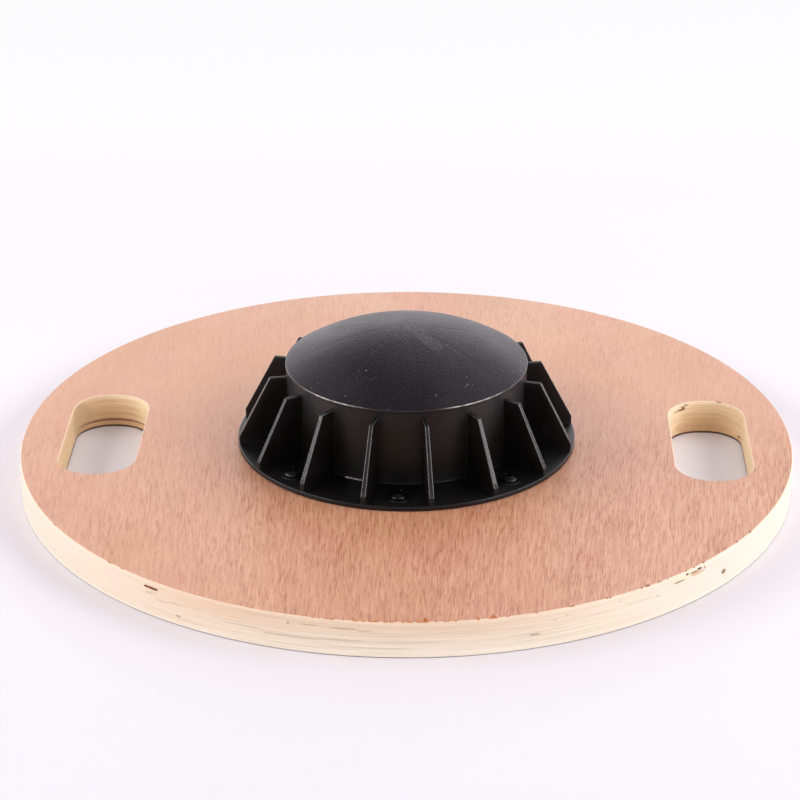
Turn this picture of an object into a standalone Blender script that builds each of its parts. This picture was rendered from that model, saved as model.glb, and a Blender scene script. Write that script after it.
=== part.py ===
"""Round wobble board: a laminated plywood disc with two hand slots and a screwed-on ribbed dome.

The board lies on its grip face with the dome upwards, as it is set down when it isn't in use.
Origin: centre of the grip face. +Z runs up through the dome, and the hand slots lie along X.
"""

import math

import bmesh
import bpy
from mathutils import Matrix, Vector

# Board
BOARD_DIAMETER = 0.400
GRIP_THICKNESS = 0.0007
VENEER_THICKNESS = 0.0005
CORE_PLY_THICKNESS = 0.00174
CORE_PLY_COUNT = 9
GLUE_LINE = 0.0001
BOARD_STEPS = 96

# Hand slots, one each side of the dome: wood left outside them, and the flat between end corners
SLOT_RIM_MARGIN = 0.0223
SLOT_WIDTH = 0.0394
SLOT_LENGTH = 0.0965
SLOT_END_FLAT = 0.0024
SLOT_CORNER_STEPS = 6

# Moulded base: flange, cup and dome in one shell, its heights taken from its underside
BASE_TURN = math.radians(-1.5)
FLANGE_DIAMETER = 0.175
FLANGE_THICKNESS = 0.0022
FLANGE_EDGE_BREAK = 0.0003
CUP_DIAMETER = 0.124
CUP_FOOT_FILLET = 0.0008
CUP_FOOT_STEPS = 2
WALL_THICKNESS = 0.003
RIM_HEIGHT = 0.0428
RIM_LIP = 0.0004
RIM_LIP_DEPTH = 0.0012
RIM_FILLET = 0.0006
DOME_RISE = 0.0186
DOME_STEPS = 7
BASE_STEPS = 64

# Ribs round the cup, their top edges a drop below the dome's rim
RIB_COUNT = 16
RIB_THICKNESS = 0.0024
RIB_TOP_DROP = 0.0048
RIB_TOP_LENGTH = 0.0088
RIB_FOOT_HEIGHT = 0.0063
RIB_FOOT_SETBACK = 0.0003

# Webs and hub inside the dome, in line with every second rib, their undersides a drop below the rim
WEB_COUNT = 8
WEB_THICKNESS = 0.0022
WEB_DROP = 0.0028
HUB_DIAMETER = 0.014
HUB_STEPS = 16

# Pan head wood screws, one in every second bay between the ribs
SCREW_COUNT = 8
SCREW_EDGE_DISTANCE = 0.011
SCREW_LENGTH = 0.016
SCREW_SHANK_DIAMETER = 0.004
SCREW_POINT_LENGTH = 0.004
SCREW_HEAD_DIAMETER = 0.0095
SCREW_HEAD_HEIGHT = 0.0026
SCREW_HEAD_EDGE = 0.0008
SCREW_CROWN_STEPS = 3
RECESS_SPAN = 0.0050
RECESS_WIDTH = 0.0011
RECESS_DEPTH = 0.0014
PAD_DIAMETER = 0.0124
PAD_HEIGHT = 0.0005
SCREW_STEPS = 16
HOLE_STEPS = 8

# Clearances: under a seated piece, and round a screw in its hole
SEAT_GAP = 0.0003
HOLE_CLEARANCE = 0.0003

# Depth that a rib, web or hub is sunk into the wall that carries it
MOULD_OVERLAP = 0.0015

# Points closer than this are one point
WELD_DISTANCE = 0.000001

BOARD_RADIUS = BOARD_DIAMETER / 2
SLOT_CENTRE = BOARD_RADIUS - SLOT_RIM_MARGIN - SLOT_WIDTH / 2
SLOT_CORNER_RADIUS = (SLOT_WIDTH - SLOT_END_FLAT) / 2
RIB_TOP_HEIGHT = RIM_HEIGHT - RIB_TOP_DROP
WEB_BOTTOM_HEIGHT = RIM_HEIGHT - WEB_DROP
FLANGE_RADIUS = FLANGE_DIAMETER / 2
CUP_RADIUS = CUP_DIAMETER / 2
SCREW_CIRCLE_RADIUS = FLANGE_RADIUS - SCREW_EDGE_DISTANCE
SHANK_RADIUS = SCREW_SHANK_DIAMETER / 2
HOLE_RADIUS = (SHANK_RADIUS + HOLE_CLEARANCE) / math.cos(math.pi / HOLE_STEPS)
SCREW_TURN = BASE_TURN
RIB_TURN = BASE_TURN + math.pi / RIB_COUNT

WOOD_RED = (0.73, 0.41, 0.30)
WOOD_PALE = (0.88, 0.73, 0.55)
WOOD_TAN = (0.74, 0.55, 0.36)
GRIP_DARK = (0.045, 0.035, 0.032)
PLASTIC_BLACK = (0.022, 0.020, 0.020)
STEEL_BLACK = (0.07, 0.07, 0.075)


def clear_scene():
    for item in list(bpy.data.objects):
        bpy.data.objects.remove(item, do_unlink=True)


def new_collection(name):
    collection = bpy.data.collections.new(name)
    bpy.context.scene.collection.children.link(collection)
    return collection


def new_material(name, colour, roughness, metallic=0.0):
    material = bpy.data.materials.new(name)
    material.use_nodes = True
    shader = material.node_tree.nodes["Principled BSDF"]
    shader.inputs["Base Color"].default_value = (*colour, 1.0)
    shader.inputs["Roughness"].default_value = roughness
    shader.inputs["Metallic"].default_value = metallic
    return material


def add_object(name, data, collection, material=None):
    item = bpy.data.objects.new(name, data)
    collection.objects.link(item)
    if material:
        data.materials.append(material)
    return item


def arc(centre, radius, start, end, steps):
    """Points along a circular arc, ends included, for angles in radians."""
    angles = [start + (end - start) * i / steps for i in range(steps + 1)]
    return [(centre[0] + radius * math.cos(a), centre[1] + radius * math.sin(a)) for a in angles]


def circle(centre, radius, steps):
    return arc(centre, radius, 0.0, math.tau, steps)[:-1]


def slot_outline(centre_x):
    """A rectangle with rounded corners, its long side along Y."""
    reach_x = SLOT_WIDTH / 2 - SLOT_CORNER_RADIUS
    reach_y = SLOT_LENGTH / 2 - SLOT_CORNER_RADIUS
    points = []
    for quarter, (side_x, side_y) in enumerate(((1, 1), (-1, 1), (-1, -1), (1, -1))):
        corner = (centre_x + side_x * reach_x, side_y * reach_y)
        start = quarter * math.pi / 2
        points += arc(corner, SLOT_CORNER_RADIUS, start, start + math.pi / 2, SLOT_CORNER_STEPS)
    return points


def screw_places():
    """Centre and turn of each screw, seen from above."""
    for i in range(SCREW_COUNT):
        angle = SCREW_TURN + math.tau * i / SCREW_COUNT
        centre = (SCREW_CIRCLE_RADIUS * math.cos(angle), SCREW_CIRCLE_RADIUS * math.sin(angle))
        yield centre, angle


def outline_curve(name, outlines, thickness):
    """A flat plate: the first outline is its edge, and the others are holes in it."""
    curve = bpy.data.curves.new(name, "CURVE")
    curve.dimensions = "2D"
    curve.fill_mode = "BOTH"
    curve.extrude = thickness / 2
    for outline in outlines:
        spline = curve.splines.new("POLY")
        spline.points.add(len(outline) - 1)
        for point, (x, y) in zip(spline.points, outline):
            point.co = (x, y, 0.0, 1.0)
        spline.use_cyclic_u = True
    return curve


def board_layer(name, bottom, thickness, collection, material, screw_tip):
    """One sheet of the board, pierced by the screws that reach into it."""
    outlines = [circle((0.0, 0.0), BOARD_RADIUS, BOARD_STEPS)]
    outlines += [slot_outline(side * SLOT_CENTRE) for side in (-1, 1)]
    if screw_tip < bottom + thickness + SEAT_GAP:
        outlines += [circle(centre, HOLE_RADIUS, HOLE_STEPS) for centre, _ in screw_places()]
    layer = add_object(name, outline_curve(name, outlines, thickness), collection, material)
    layer.location.z = bottom + thickness / 2
    return layer


def board_stack():
    """Name, bottom, thickness and finish of every sheet, from the grip face up."""
    sheets = [("grip_facing", GRIP_THICKNESS, "grip"), ("back_veneer", VENEER_THICKNESS, "red")]
    for number in range(1, CORE_PLY_COUNT + 1):
        finish = "pale" if number % 2 else "tan"
        sheets.append((f"core_ply_{number}", CORE_PLY_THICKNESS, finish))
    sheets.append(("face_veneer", VENEER_THICKNESS, "red"))
    bottom = 0.0
    for name, thickness, finish in sheets:
        yield name, bottom, thickness, finish
        bottom += thickness + GLUE_LINE


def board_top():
    _, bottom, thickness, _ = list(board_stack())[-1]
    return bottom + thickness


def turned(name, profile, steps, collection, material=None):
    """A solid of revolution: the profile holds (radius, height) down its outer side."""
    mesh = bpy.data.meshes.new(name)
    edges = [(i, i + 1) for i in range(len(profile) - 1)]
    mesh.from_pydata([(radius, 0.0, height) for radius, height in profile], edges, [])
    item = add_object(name, mesh, collection, material)
    screw = item.modifiers.new("Turn", "SCREW")
    screw.axis = "Z"
    screw.steps = steps
    screw.render_steps = steps
    screw.use_merge_vertices = True
    screw.merge_threshold = WELD_DISTANCE
    screw.use_smooth_shade = True
    return item


def as_mesh(data, matrix=Matrix.Identity(4)):
    """The closed mesh of a curve, with its loose caps welded."""
    holder = bpy.data.objects.new("Outline", data)
    bpy.context.scene.collection.objects.link(holder)
    bpy.context.view_layer.update()
    evaluated = holder.evaluated_get(bpy.context.evaluated_depsgraph_get())
    mesh = bpy.data.meshes.new_from_object(evaluated)
    bpy.data.objects.remove(holder, do_unlink=True)
    shape = bmesh.new()
    shape.from_mesh(mesh)
    bmesh.ops.remove_doubles(shape, verts=shape.verts, dist=WELD_DISTANCE)
    bmesh.ops.transform(shape, matrix=matrix, verts=shape.verts)
    shape.to_mesh(mesh)
    shape.free()
    return mesh


def plate(outline, thickness):
    """A plate that stands on edge in the XZ plane, from (radius, height) points."""
    upright = Matrix.Rotation(math.pi / 2, 4, "X")
    return as_mesh(outline_curve("Plate", [outline], thickness), upright)


def ring_of(name, mesh, count, turn, collection):
    """Copies of a mesh set round the Z axis, as one object of separate solids."""
    shape = bmesh.new()
    for i in range(count):
        first = len(shape.verts)
        shape.from_mesh(mesh)
        shape.verts.ensure_lookup_table()
        rotation = Matrix.Rotation(turn + math.tau * i / count, 4, "Z")
        bmesh.ops.transform(shape, matrix=rotation, verts=shape.verts[first:])
    ring = bpy.data.meshes.new(name)
    shape.to_mesh(ring)
    shape.free()
    return add_object(name, ring, collection)


def cylinder(radius, bottom, top, steps, centre=(0.0, 0.0)):
    mesh = bpy.data.meshes.new("Cylinder")
    shape = bmesh.new()
    bmesh.ops.create_cone(
        shape, cap_ends=True, segments=steps, radius1=radius, radius2=radius, depth=top - bottom
    )
    bmesh.ops.translate(shape, vec=(*centre, (bottom + top) / 2), verts=shape.verts)
    shape.to_mesh(mesh)
    shape.free()
    return mesh


def hide_helper(item):
    item.hide_render = True
    item.display_type = "WIRE"


def combine(item, other, operation):
    boolean = item.modifiers.new(other.name, "BOOLEAN")
    boolean.operation = operation
    boolean.solver = "EXACT"
    boolean.object = other
    hide_helper(other)


def sphere_radius(rim_radius):
    return (rim_radius**2 + DOME_RISE**2) / (2 * DOME_RISE)


def dome_arc(drop, reach):
    """Points of the dome from its axis out to a reach, sunk by a wall's thickness."""
    radius = sphere_radius(CUP_RADIUS + RIM_LIP)
    centre = RIM_HEIGHT + DOME_RISE - radius
    end = math.pi / 2 - math.asin(reach / (radius - drop))
    return arc((0.0, centre), radius - drop, math.pi / 2, end, DOME_STEPS)


def base_profile():
    lip_radius = CUP_RADIUS + RIM_LIP
    cavity_radius = CUP_RADIUS - WALL_THICKNESS
    foot = CUP_RADIUS + CUP_FOOT_FILLET
    foot_height = FLANGE_THICKNESS + CUP_FOOT_FILLET
    outside = dome_arc(0.0, lip_radius - RIM_FILLET)
    outside[0] = (0.0, outside[0][1])
    outside += [
        (lip_radius, RIM_HEIGHT - RIM_FILLET),
        (lip_radius, RIM_HEIGHT - RIM_LIP_DEPTH),
        (CUP_RADIUS, RIM_HEIGHT - RIM_LIP_DEPTH - RIM_LIP),
    ]
    outside += arc((foot, foot_height), CUP_FOOT_FILLET, math.pi, math.pi * 1.5, CUP_FOOT_STEPS)
    outside += [
        (FLANGE_RADIUS - FLANGE_EDGE_BREAK, FLANGE_THICKNESS),
        (FLANGE_RADIUS, FLANGE_THICKNESS - FLANGE_EDGE_BREAK),
        (FLANGE_RADIUS, 0.0),
    ]
    inside = dome_arc(WALL_THICKNESS, cavity_radius)
    inside[0] = (0.0, inside[0][1])
    return outside + [(cavity_radius, 0.0)] + inside[::-1]


def rib_outline():
    """Side view of a rib: level top edge, straight slope, short upright foot."""
    inner = CUP_RADIUS - MOULD_OVERLAP
    sunk = FLANGE_THICKNESS / 2
    foot = FLANGE_RADIUS - RIB_FOOT_SETBACK
    return [
        (inner, sunk),
        (foot, sunk),
        (foot, RIB_FOOT_HEIGHT),
        (CUP_RADIUS + RIB_TOP_LENGTH, RIB_TOP_HEIGHT),
        (inner, RIB_TOP_HEIGHT),
    ]


def web_outline():
    """Side view of a web: flat below, and ending inside the dome's wall above."""
    top = dome_arc(WALL_THICKNESS - MOULD_OVERLAP, CUP_RADIUS - MOULD_OVERLAP)
    start = HUB_DIAMETER / 2 - MOULD_OVERLAP
    top = [(radius, height) for radius, height in top if radius > start]
    end = CUP_RADIUS - MOULD_OVERLAP
    return [(start, WEB_BOTTOM_HEIGHT), (end, WEB_BOTTOM_HEIGHT)] + top[::-1] + [
        (start, top[0][1])
    ]


def base(collection, helpers, material):
    shell = turned("dome_base", base_profile(), BASE_STEPS, collection, material)
    shell.location.z = board_top() + SEAT_GAP
    dome_inside = RIM_HEIGHT + DOME_RISE - WALL_THICKNESS
    hub = cylinder(HUB_DIAMETER / 2, WEB_BOTTOM_HEIGHT, dome_inside + MOULD_OVERLAP, HUB_STEPS)
    pad_top = FLANGE_THICKNESS + PAD_HEIGHT
    bay = (SCREW_CIRCLE_RADIUS, 0.0)
    pad = cylinder(PAD_DIAMETER / 2, FLANGE_THICKNESS / 2, pad_top, SCREW_STEPS, bay)
    hole = cylinder(HOLE_RADIUS, -SEAT_GAP, pad_top + SEAT_GAP, HOLE_STEPS, bay)
    rib = plate(rib_outline(), RIB_THICKNESS)
    web = plate(web_outline(), WEB_THICKNESS)
    additions = [
        ring_of("ribs", rib, RIB_COUNT, RIB_TURN, helpers),
        ring_of("webs", web, WEB_COUNT, RIB_TURN, helpers),
        ring_of("hub", hub, 1, RIB_TURN, helpers),
        ring_of("screw_pads", pad, SCREW_COUNT, SCREW_TURN, helpers),
    ]
    holes = ring_of("screw_holes", hole, SCREW_COUNT, SCREW_TURN, helpers)
    for helper in additions + [holes]:
        helper.location = shell.location
    for helper in additions:
        combine(shell, helper, "UNION")
    combine(shell, holes, "DIFFERENCE")
    return shell


def screw_seat():
    """Height of the underside of a screw's head."""
    return board_top() + SEAT_GAP + FLANGE_THICKNESS + PAD_HEIGHT + SEAT_GAP


def screw_profile():
    head = SCREW_HEAD_DIAMETER / 2
    crown_rise = SCREW_HEAD_HEIGHT - SCREW_HEAD_EDGE
    crown_radius = (head**2 + crown_rise**2) / (2 * crown_rise)
    crown_end = math.pi / 2 - math.asin(head / crown_radius)
    crown_centre = (0.0, SCREW_HEAD_HEIGHT - crown_radius)
    crown = arc(crown_centre, crown_radius, math.pi / 2, crown_end, SCREW_CROWN_STEPS)
    crown[0] = (0.0, SCREW_HEAD_HEIGHT)
    return crown + [
        (head, 0.0),
        (SHANK_RADIUS, 0.0),
        (SHANK_RADIUS, SCREW_POINT_LENGTH - SCREW_LENGTH),
        (0.0, -SCREW_LENGTH),
    ]


def recess_outline():
    """A cross of two crossed bars, point by point round its edge."""
    span = RECESS_SPAN / 2
    width = RECESS_WIDTH / 2
    arm = [Vector((span, -width)), Vector((span, width)), Vector((width, width))]
    points = []
    for quarter in range(4):
        turn = Matrix.Rotation(quarter * math.pi / 2, 2)
        points += [tuple(turn @ corner) for corner in arm]
    return points


def screws(collection, helpers, material):
    driver = as_mesh(outline_curve("Driver", [recess_outline()], RECESS_DEPTH * 2))
    for number, (centre, angle) in enumerate(screw_places(), start=1):
        screw = turned(f"screw_{number}", screw_profile(), SCREW_STEPS, collection, material)
        screw.location = (*centre, screw_seat())
        screw.rotation_euler.z = angle
        recess = add_object(f"recess_{number}", driver, helpers)
        recess.location = (*centre, screw_seat() + SCREW_HEAD_HEIGHT)
        recess.rotation_euler.z = angle
        combine(screw, recess, "DIFFERENCE")


def build():
    clear_scene()
    collection = new_collection("wobble_board")
    helpers = new_collection("cutters")
    finishes = {
        "red": new_material("red_veneer", WOOD_RED, 0.6),
        "pale": new_material("pale_ply", WOOD_PALE, 0.65),
        "tan": new_material("tan_ply", WOOD_TAN, 0.65),
        "grip": new_material("grip_film", GRIP_DARK, 0.8),
    }
    screw_tip = screw_seat() - SCREW_LENGTH
    for name, bottom, thickness, finish in board_stack():
        board_layer(name, bottom, thickness, collection, finishes[finish], screw_tip)
    base(collection, helpers, new_material("black_plastic", PLASTIC_BLACK, 0.45))
    screws(collection, helpers, new_material("black_steel", STEEL_BLACK, 0.3, 1.0))


build()
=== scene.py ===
"""Looks of a round plywood wobble board that lies with its ribbed black dome up.

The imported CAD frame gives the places, and every operator dresses one piece or one group of like pieces:
the sheets of the board, the moulded base with its ribs, pads and webs, the screws, and the stage.
Lengths are in metres, heights are above the grip face, and angles run anticlockwise from +X.
"""

import math
import random

import bmesh
import bpy
from bpy.props import FloatProperty, FloatVectorProperty, IntProperty, PointerProperty
from mathutils import Matrix, Vector
from mathutils.geometry import tessellate_polygon


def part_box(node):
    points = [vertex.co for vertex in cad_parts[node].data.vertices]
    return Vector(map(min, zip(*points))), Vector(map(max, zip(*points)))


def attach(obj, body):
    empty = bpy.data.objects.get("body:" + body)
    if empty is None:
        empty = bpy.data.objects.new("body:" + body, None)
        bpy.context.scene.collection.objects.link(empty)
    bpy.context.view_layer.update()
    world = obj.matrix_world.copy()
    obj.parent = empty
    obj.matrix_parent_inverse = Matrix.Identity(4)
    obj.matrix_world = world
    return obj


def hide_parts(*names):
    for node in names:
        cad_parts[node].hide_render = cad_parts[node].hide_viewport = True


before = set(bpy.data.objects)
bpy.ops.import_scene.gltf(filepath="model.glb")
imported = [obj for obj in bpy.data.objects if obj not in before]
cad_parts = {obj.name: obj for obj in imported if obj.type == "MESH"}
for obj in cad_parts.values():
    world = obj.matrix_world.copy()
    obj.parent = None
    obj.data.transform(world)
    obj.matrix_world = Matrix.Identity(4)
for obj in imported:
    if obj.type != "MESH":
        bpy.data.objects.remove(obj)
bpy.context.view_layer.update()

bl_info = {
    "name": "Wobble board dress",
    "version": (1, 0, 0),
    "blender": (4, 5, 0),
    "location": "View3D > Sidebar > Wobble board",
    "description": "Dresses the frame of a round plywood wobble board and sets its studio stage",
    "category": "Object",
}

MM = 0.001


def numbered(prefix):
    """The CAD nodes of a prefix, in the order of their numbers."""
    nodes = [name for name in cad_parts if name.startswith(prefix)]
    return sorted(nodes, key=lambda name: int(name.removeprefix(prefix)))


PLIES = numbered("core_ply_")
SCREWS = numbered("screw_")


def frame_top(node):
    """Height of a CAD node's top."""
    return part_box(node)[1].z


def frame_bottom(node):
    """Height of a CAD node's foot."""
    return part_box(node)[0].z


def frame_centre(node):
    """Middle of a CAD node's box."""
    low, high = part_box(node)
    return (low + high) / 2


def length(label, meaning, default):
    """A property that holds a length in metres."""
    return FloatProperty(
        name=label, description=meaning, default=default, min=0.0, unit="LENGTH", precision=5
    )


def angle(label, meaning, degrees):
    """A property that holds an angle, with its default in degrees."""
    return FloatProperty(
        name=label, description=meaning, default=math.radians(degrees), unit="ROTATION", precision=3
    )


def colour(label, meaning, default):
    """A property that holds a linear colour."""
    return FloatVectorProperty(
        name=label, description=meaning, default=default, min=0.0, max=1.0, subtype="COLOR", size=3
    )


def amount(label, meaning, default):
    """A property that holds a plain number."""
    return FloatProperty(name=label, description=meaning, default=default, min=0.0, precision=3)


class BoardSizes(bpy.types.PropertyGroup):
    """Sizes of the laminated board."""

    radius: length("Radius", "Radius of the board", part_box("grip_facing")[1].x)
    slot_centre: length("Slot centre", "From the middle of the board to that of a slot", 0.158)
    slot_width: length("Slot width", "Width of a hand slot", 0.0394)
    slot_length: length("Slot length", "Length of a hand slot", 0.0965)
    slot_flat: length("Slot flat", "Straight stretch at each end of a slot", 0.0024)
    pilot_radius: length("Pilot radius", "Radius of a screw's hole in the wood", 0.0024)
    edge_ease: length("Edge ease", "How far the sanded upper edges draw in", 0.0006)
    ease_depth: length("Ease depth", "How far down the sanded edges reach", 0.0012)
    film: length("Film", "Thickness of the film as its edge shows it", 0.00035)
    film_ease: length("Film ease", "Rounding of the film's lower edge", 0.00018)
    grain_lean: amount("Grain lean", "Sideways run of the face grain for each metre along Y", 0.012)
    grain_fan: amount("Grain fan", "How much more it leans for each metre out from the middle", 1.0)


class BaseSizes(bpy.types.PropertyGroup):
    """Sizes of the moulded base, its heights taken from its underside."""

    flange_radius: length("Flange radius", "Radius of the flange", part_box("dome_base")[1].x)
    flange_thickness: length("Flange thickness", "Thickness of the flange", 0.0022)
    flange_break: length("Flange break", "Rounding of the flange's upper edge", 0.0003)
    cup_radius: length("Cup radius", "Radius of the upright wall", 0.062)
    wall: length("Wall", "Thickness of the moulded wall", 0.003)
    foot_fillet: length("Foot fillet", "Fillet between the wall and the flange", 0.0008)
    rim_height: length("Rim height", "Height of the dome's rim", 0.0428)
    rim_lip: length("Rim lip", "How far the rim stands out from the wall", 0.0004)
    rim_lip_depth: length("Rim lip depth", "Depth of the rim's upright face", 0.0012)
    rim_fillet: length("Rim fillet", "Rounding between the dome and its rim", 0.0006)
    dome_rise: length("Dome rise", "Height of the dome above its rim", 0.0186)
    rib_count: IntProperty(name="Ribs", description="Number of ribs round the wall", default=16)
    rib_turn: angle("Rib turn", "Direction of the first rib", 9.75)
    rib_top_half: length("Rib top", "Half thickness of a rib at its top", 0.00098)
    rib_foot_half: length("Rib foot", "Half thickness of a rib at its foot", 0.00128)
    rib_top_height: length("Rib height", "Height of a rib's level top", 0.0380)
    rib_top_length: length("Rib top length", "Length of a rib's level top", 0.0088)
    rib_foot_height: length("Rib foot height", "Height of a rib's upright foot", 0.0063)
    rib_foot_setback: length("Rib setback", "From a rib's foot to the flange's edge", 0.0003)
    rib_rounding: length("Rib rounding", "Rounding of a rib's free edges", 0.0004)
    rib_fillet: length("Rib fillet", "Fillet where a rib meets wall and flange", 0.0003)
    web_count: IntProperty(name="Webs", description="Number of webs inside the dome", default=8)
    web_thickness: length("Web thickness", "Thickness of a web", 0.0022)
    web_bottom: length("Web bottom", "Height of the underside of the webs", 0.0400)
    hub_radius: length("Hub radius", "Radius of the hub that the webs meet at", 0.007)
    sink_depth: length("Sink depth", "Depth of the faint sink lines over the webs", 0.00006)
    sink_width: length("Sink width", "Half width of a sink line", 0.0012)
    pad_radius: length("Pad radius", "Radius of the round pad under a screw's head", 0.0062)
    pad_height: length("Pad height", "Height of a pad above the flange", 0.0005)


class ScrewSizes(bpy.types.PropertyGroup):
    """Sizes of a pan head wood screw."""

    head_radius: length("Head radius", "Radius of the head", 0.00475)
    head_height: length("Head height", "Height of the head", 0.0026)
    head_edge: length("Head edge", "Height of the head's upright edge", 0.0008)
    core_radius: length("Core radius", "Radius of the shank under its thread", 0.0015)
    thread_depth: length("Thread depth", "How far the thread stands out", 0.00055)
    thread_pitch: length("Thread pitch", "From one turn of the thread to the next", 0.0018)
    point_length: length("Point length", "Length of the tapered point", 0.004)
    recess_span: length("Recess span", "Width of the cross recess", 0.0050)
    recess_width: length("Recess width", "Width of one arm of the recess", 0.0011)
    recess_depth: length("Recess depth", "Depth of the recess", 0.0015)


class Finishes(bpy.types.PropertyGroup):
    """Colours of the materials."""

    veneer_light: colour("Veneer light", "Paler tone of the face veneer", (0.643, 0.335, 0.206))
    veneer_dark: colour("Veneer dark", "Deeper tone of the face veneer", (0.60, 0.30, 0.172))
    veneer_pink: colour("Veneer pink", "Pinker tone of the face veneer", (0.632, 0.309, 0.206))
    veneer_edge: colour("Veneer edge", "Sanded edge of the face veneer", (0.84, 0.66, 0.50))
    veneer_splinter: colour("Splintered veneer", "Older chips, darkened", (0.22, 0.075, 0.035))
    veneer_torn: colour("Torn veneer", "Fibres bared where the veneer is chipped", (0.50, 0.14, 0.025))
    veneer_pores: colour("Veneer pores", "What fibres and pores multiply the veneer by", (0.66, 0.47, 0.37))
    torn_fibre: colour("Torn fibre", "Paler fibres where the veneer is chipped", (0.66, 0.27, 0.08))
    # Partly glue and partly painted shadow at the foot of the slots' walls
    slot_glue_and_shadow: colour("Glue in the slots", "Glue on the back veneer in the slots", (0.06, 0.025, 0.010))
    birch_long: colour("Birch along", "Birch cut along its grain", (0.895, 0.79, 0.665))
    birch_end: colour("Birch across", "Birch cut across its grain", (0.76, 0.59, 0.425))
    # Painted highlight: the paler, greyer birch of the rim's two sides, which face the side lamps
    birch_side_highlight: colour("Birch pale", "Palest sanded birch, at the two sides", (0.80, 0.71, 0.63))
    birch_peach: colour("Birch peach", "Warmer tone of the upper plies", (0.85, 0.62, 0.45))
    sawn_long: colour("Sawn along", "Birch along its grain on the slots' walls", (0.90, 0.70, 0.455))
    sawn_end: colour("Sawn across", "Birch across its grain on the slots' walls", (0.62, 0.43, 0.235))
    birch_streak: colour("Birch streak", "Grey brown streaks in the birch", (0.56, 0.44, 0.29))
    # grey also paints the shade on the left slot's outer end
    grey: colour("Grey stain", "Grey marks in the birch", (0.40, 0.27, 0.17))
    brown: colour("Brown stain", "Red brown marks in the birch", (0.17, 0.06, 0.02))
    tan: colour("Tan stain", "Tan marks in the birch", (0.60, 0.36, 0.20))
    olive: colour("Olive stain", "Olive brown marks in the birch", (0.24, 0.14, 0.045))
    cream: colour("Cream filler", "Yellowish filler in a mended gap", (0.87, 0.71, 0.47))
    glue: colour("Glue", "Glue line between two plies", (0.50, 0.33, 0.20))
    void_light: colour("Void light", "Torn fibres inside a gap", (0.50, 0.15, 0.06))
    void: colour("Void", "Inside of a gap in a ply", (0.10, 0.03, 0.012))
    grip: colour("Grip film", "Dark phenolic film", (0.045, 0.034, 0.030))
    grip_edge: colour("Film edge", "Sanded edge of the film", (0.26, 0.215, 0.20))
    grip_cloud: colour("Film clouds", "Paler patches of the film", (0.075, 0.060, 0.052))
    grip_wall: colour("Film in the slots", "Edge of the film on the slots' walls", (0.20, 0.10, 0.05))
    plastic: colour("Plastic", "Black moulded plastic", (0.0055, 0.0048, 0.0046))
    dome: colour("Dome", "Textured black plastic of the dome", (0.0078, 0.0068, 0.0072))
    dome_rub: colour("Dome rub", "Rubbed plastic beside the dome's apex", (0.15, 0.14, 0.15))
    dome_speck: colour("Dome specks", "Pale specks on the dome", (0.40, 0.39, 0.41))
    # Pale scuffs, and also the painted sheen and highlight on the plastic towards the left and right
    scuff_and_sheen: colour("Scuff", "Pale scuffs on the plastic", (0.075, 0.07, 0.078))
    # worn also paints the highlight round the dome's rim and on a stretch of the wall's foot
    worn: colour("Worn edge", "Plastic worn pale along a sharp edge", (0.45, 0.43, 0.40))
    steel: colour("Steel", "Blackened steel of the screws", (0.03, 0.03, 0.034))
    steel_worn: colour("Worn steel", "Steel worn a little brighter", (0.22, 0.22, 0.24))


class StageSettings(bpy.types.PropertyGroup):
    """Camera, floor and light."""

    camera_distance: length("Camera distance", "From the camera to the board's middle", 1.455)
    camera_height: angle("Camera elevation", "How far above the board the camera stands", 25.149)
    camera_turn: angle("Camera turn", "How far the camera stands round from -Y", 1.5)
    camera_pitch: angle("Camera pitch", "How far above the middle the camera aims", 0.748)
    camera_yaw: angle("Camera yaw", "How far left of the middle the camera aims", 0.132)
    lens_mm: amount("Lens", "Focal length in millimetres", 125.58)
    sensor_mm: amount("Sensor", "Width of the camera's sensor in millimetres", 36.0)
    floor_size: length("Floor size", "Side of the square floor", 12.0)
    floor_gap: length("Floor gap", "From the floor to the grip face", 0.0001)
    floor: colour("Floor", "Colour of the floor", (0.815, 0.775, 0.825))
    floor_glow: amount("Floor glow", "Share of the floor that shows as plain white", 0.05)
    far_glow: amount("Far glow", "The same share far behind the board", 0.8)
    sky: colour("Sky", "Colour of the sky", (0.985, 0.965, 1.0))
    sky_low: amount("Sky at the horizon", "Strength of the sky at the horizon", 1.4)
    sky_high: amount("Sky overhead", "Strength of the sky overhead", 0.27)
    sky_back: amount("Sky behind", "Added strength low down behind the board", 1.1)
    box_distance: length("Soft box distance", "From the board to each soft box", 2.0)
    box_width: length("Soft box width", "Width of a side soft box", 1.5)
    box_height: length("Soft box height", "Height of a soft box", 0.9)
    strip_width: length("Strip width", "Width of a front strip light", 0.4)
    left_power: amount("Left power", "Power of the left soft box in watts", 20.8)
    right_power: amount("Right power", "Power of the right soft box in watts", 21.8)
    back_power: amount("Back power", "Power of the soft box behind the board in watts", 6.0)
    strip_power: amount("Strip power", "Power of each front strip light in watts", 4.6)


# What parts of a surface are multiplied by, channel by channel
# Painted sheen: the veneer behind the dome made paler and bluer
FAR_VENEER_PAINTED_SHEEN = (1.0, 1.08, 1.13)
LEFT_RIM = (0.98, 0.925, 0.88)
# Painted light: the rim's lowest few millimetres lighter where they face front or back
LOW_RIM_PAINTED_LIGHT = (1.05, 1.07, 1.08)
# Painted shade and light on the slots' walls
DEEP_WALL_PAINTED_SHADE = (0.80, 0.70, 0.58)
FAR_LEFT_WALL_PAINTED_SHADE = (0.79, 0.73, 0.66)
FAR_RIGHT_WALL_PAINTED_SHADE = (0.88, 0.86, 0.83)
NEAR_RIGHT_WALL_PAINTED_LIGHT = (1.06, 1.10, 1.17)
# Painted shade: the floor darker towards the front
NEAR_FLOOR_PAINTED_SHADE = (0.935, 0.94, 0.93)

# Tint of the dome's highlights
DOME_SHINE = (1.0, 0.73, 1.0, 1.0)

WHITE = (1.0, 1.0, 1.0, 1.0)

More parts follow.
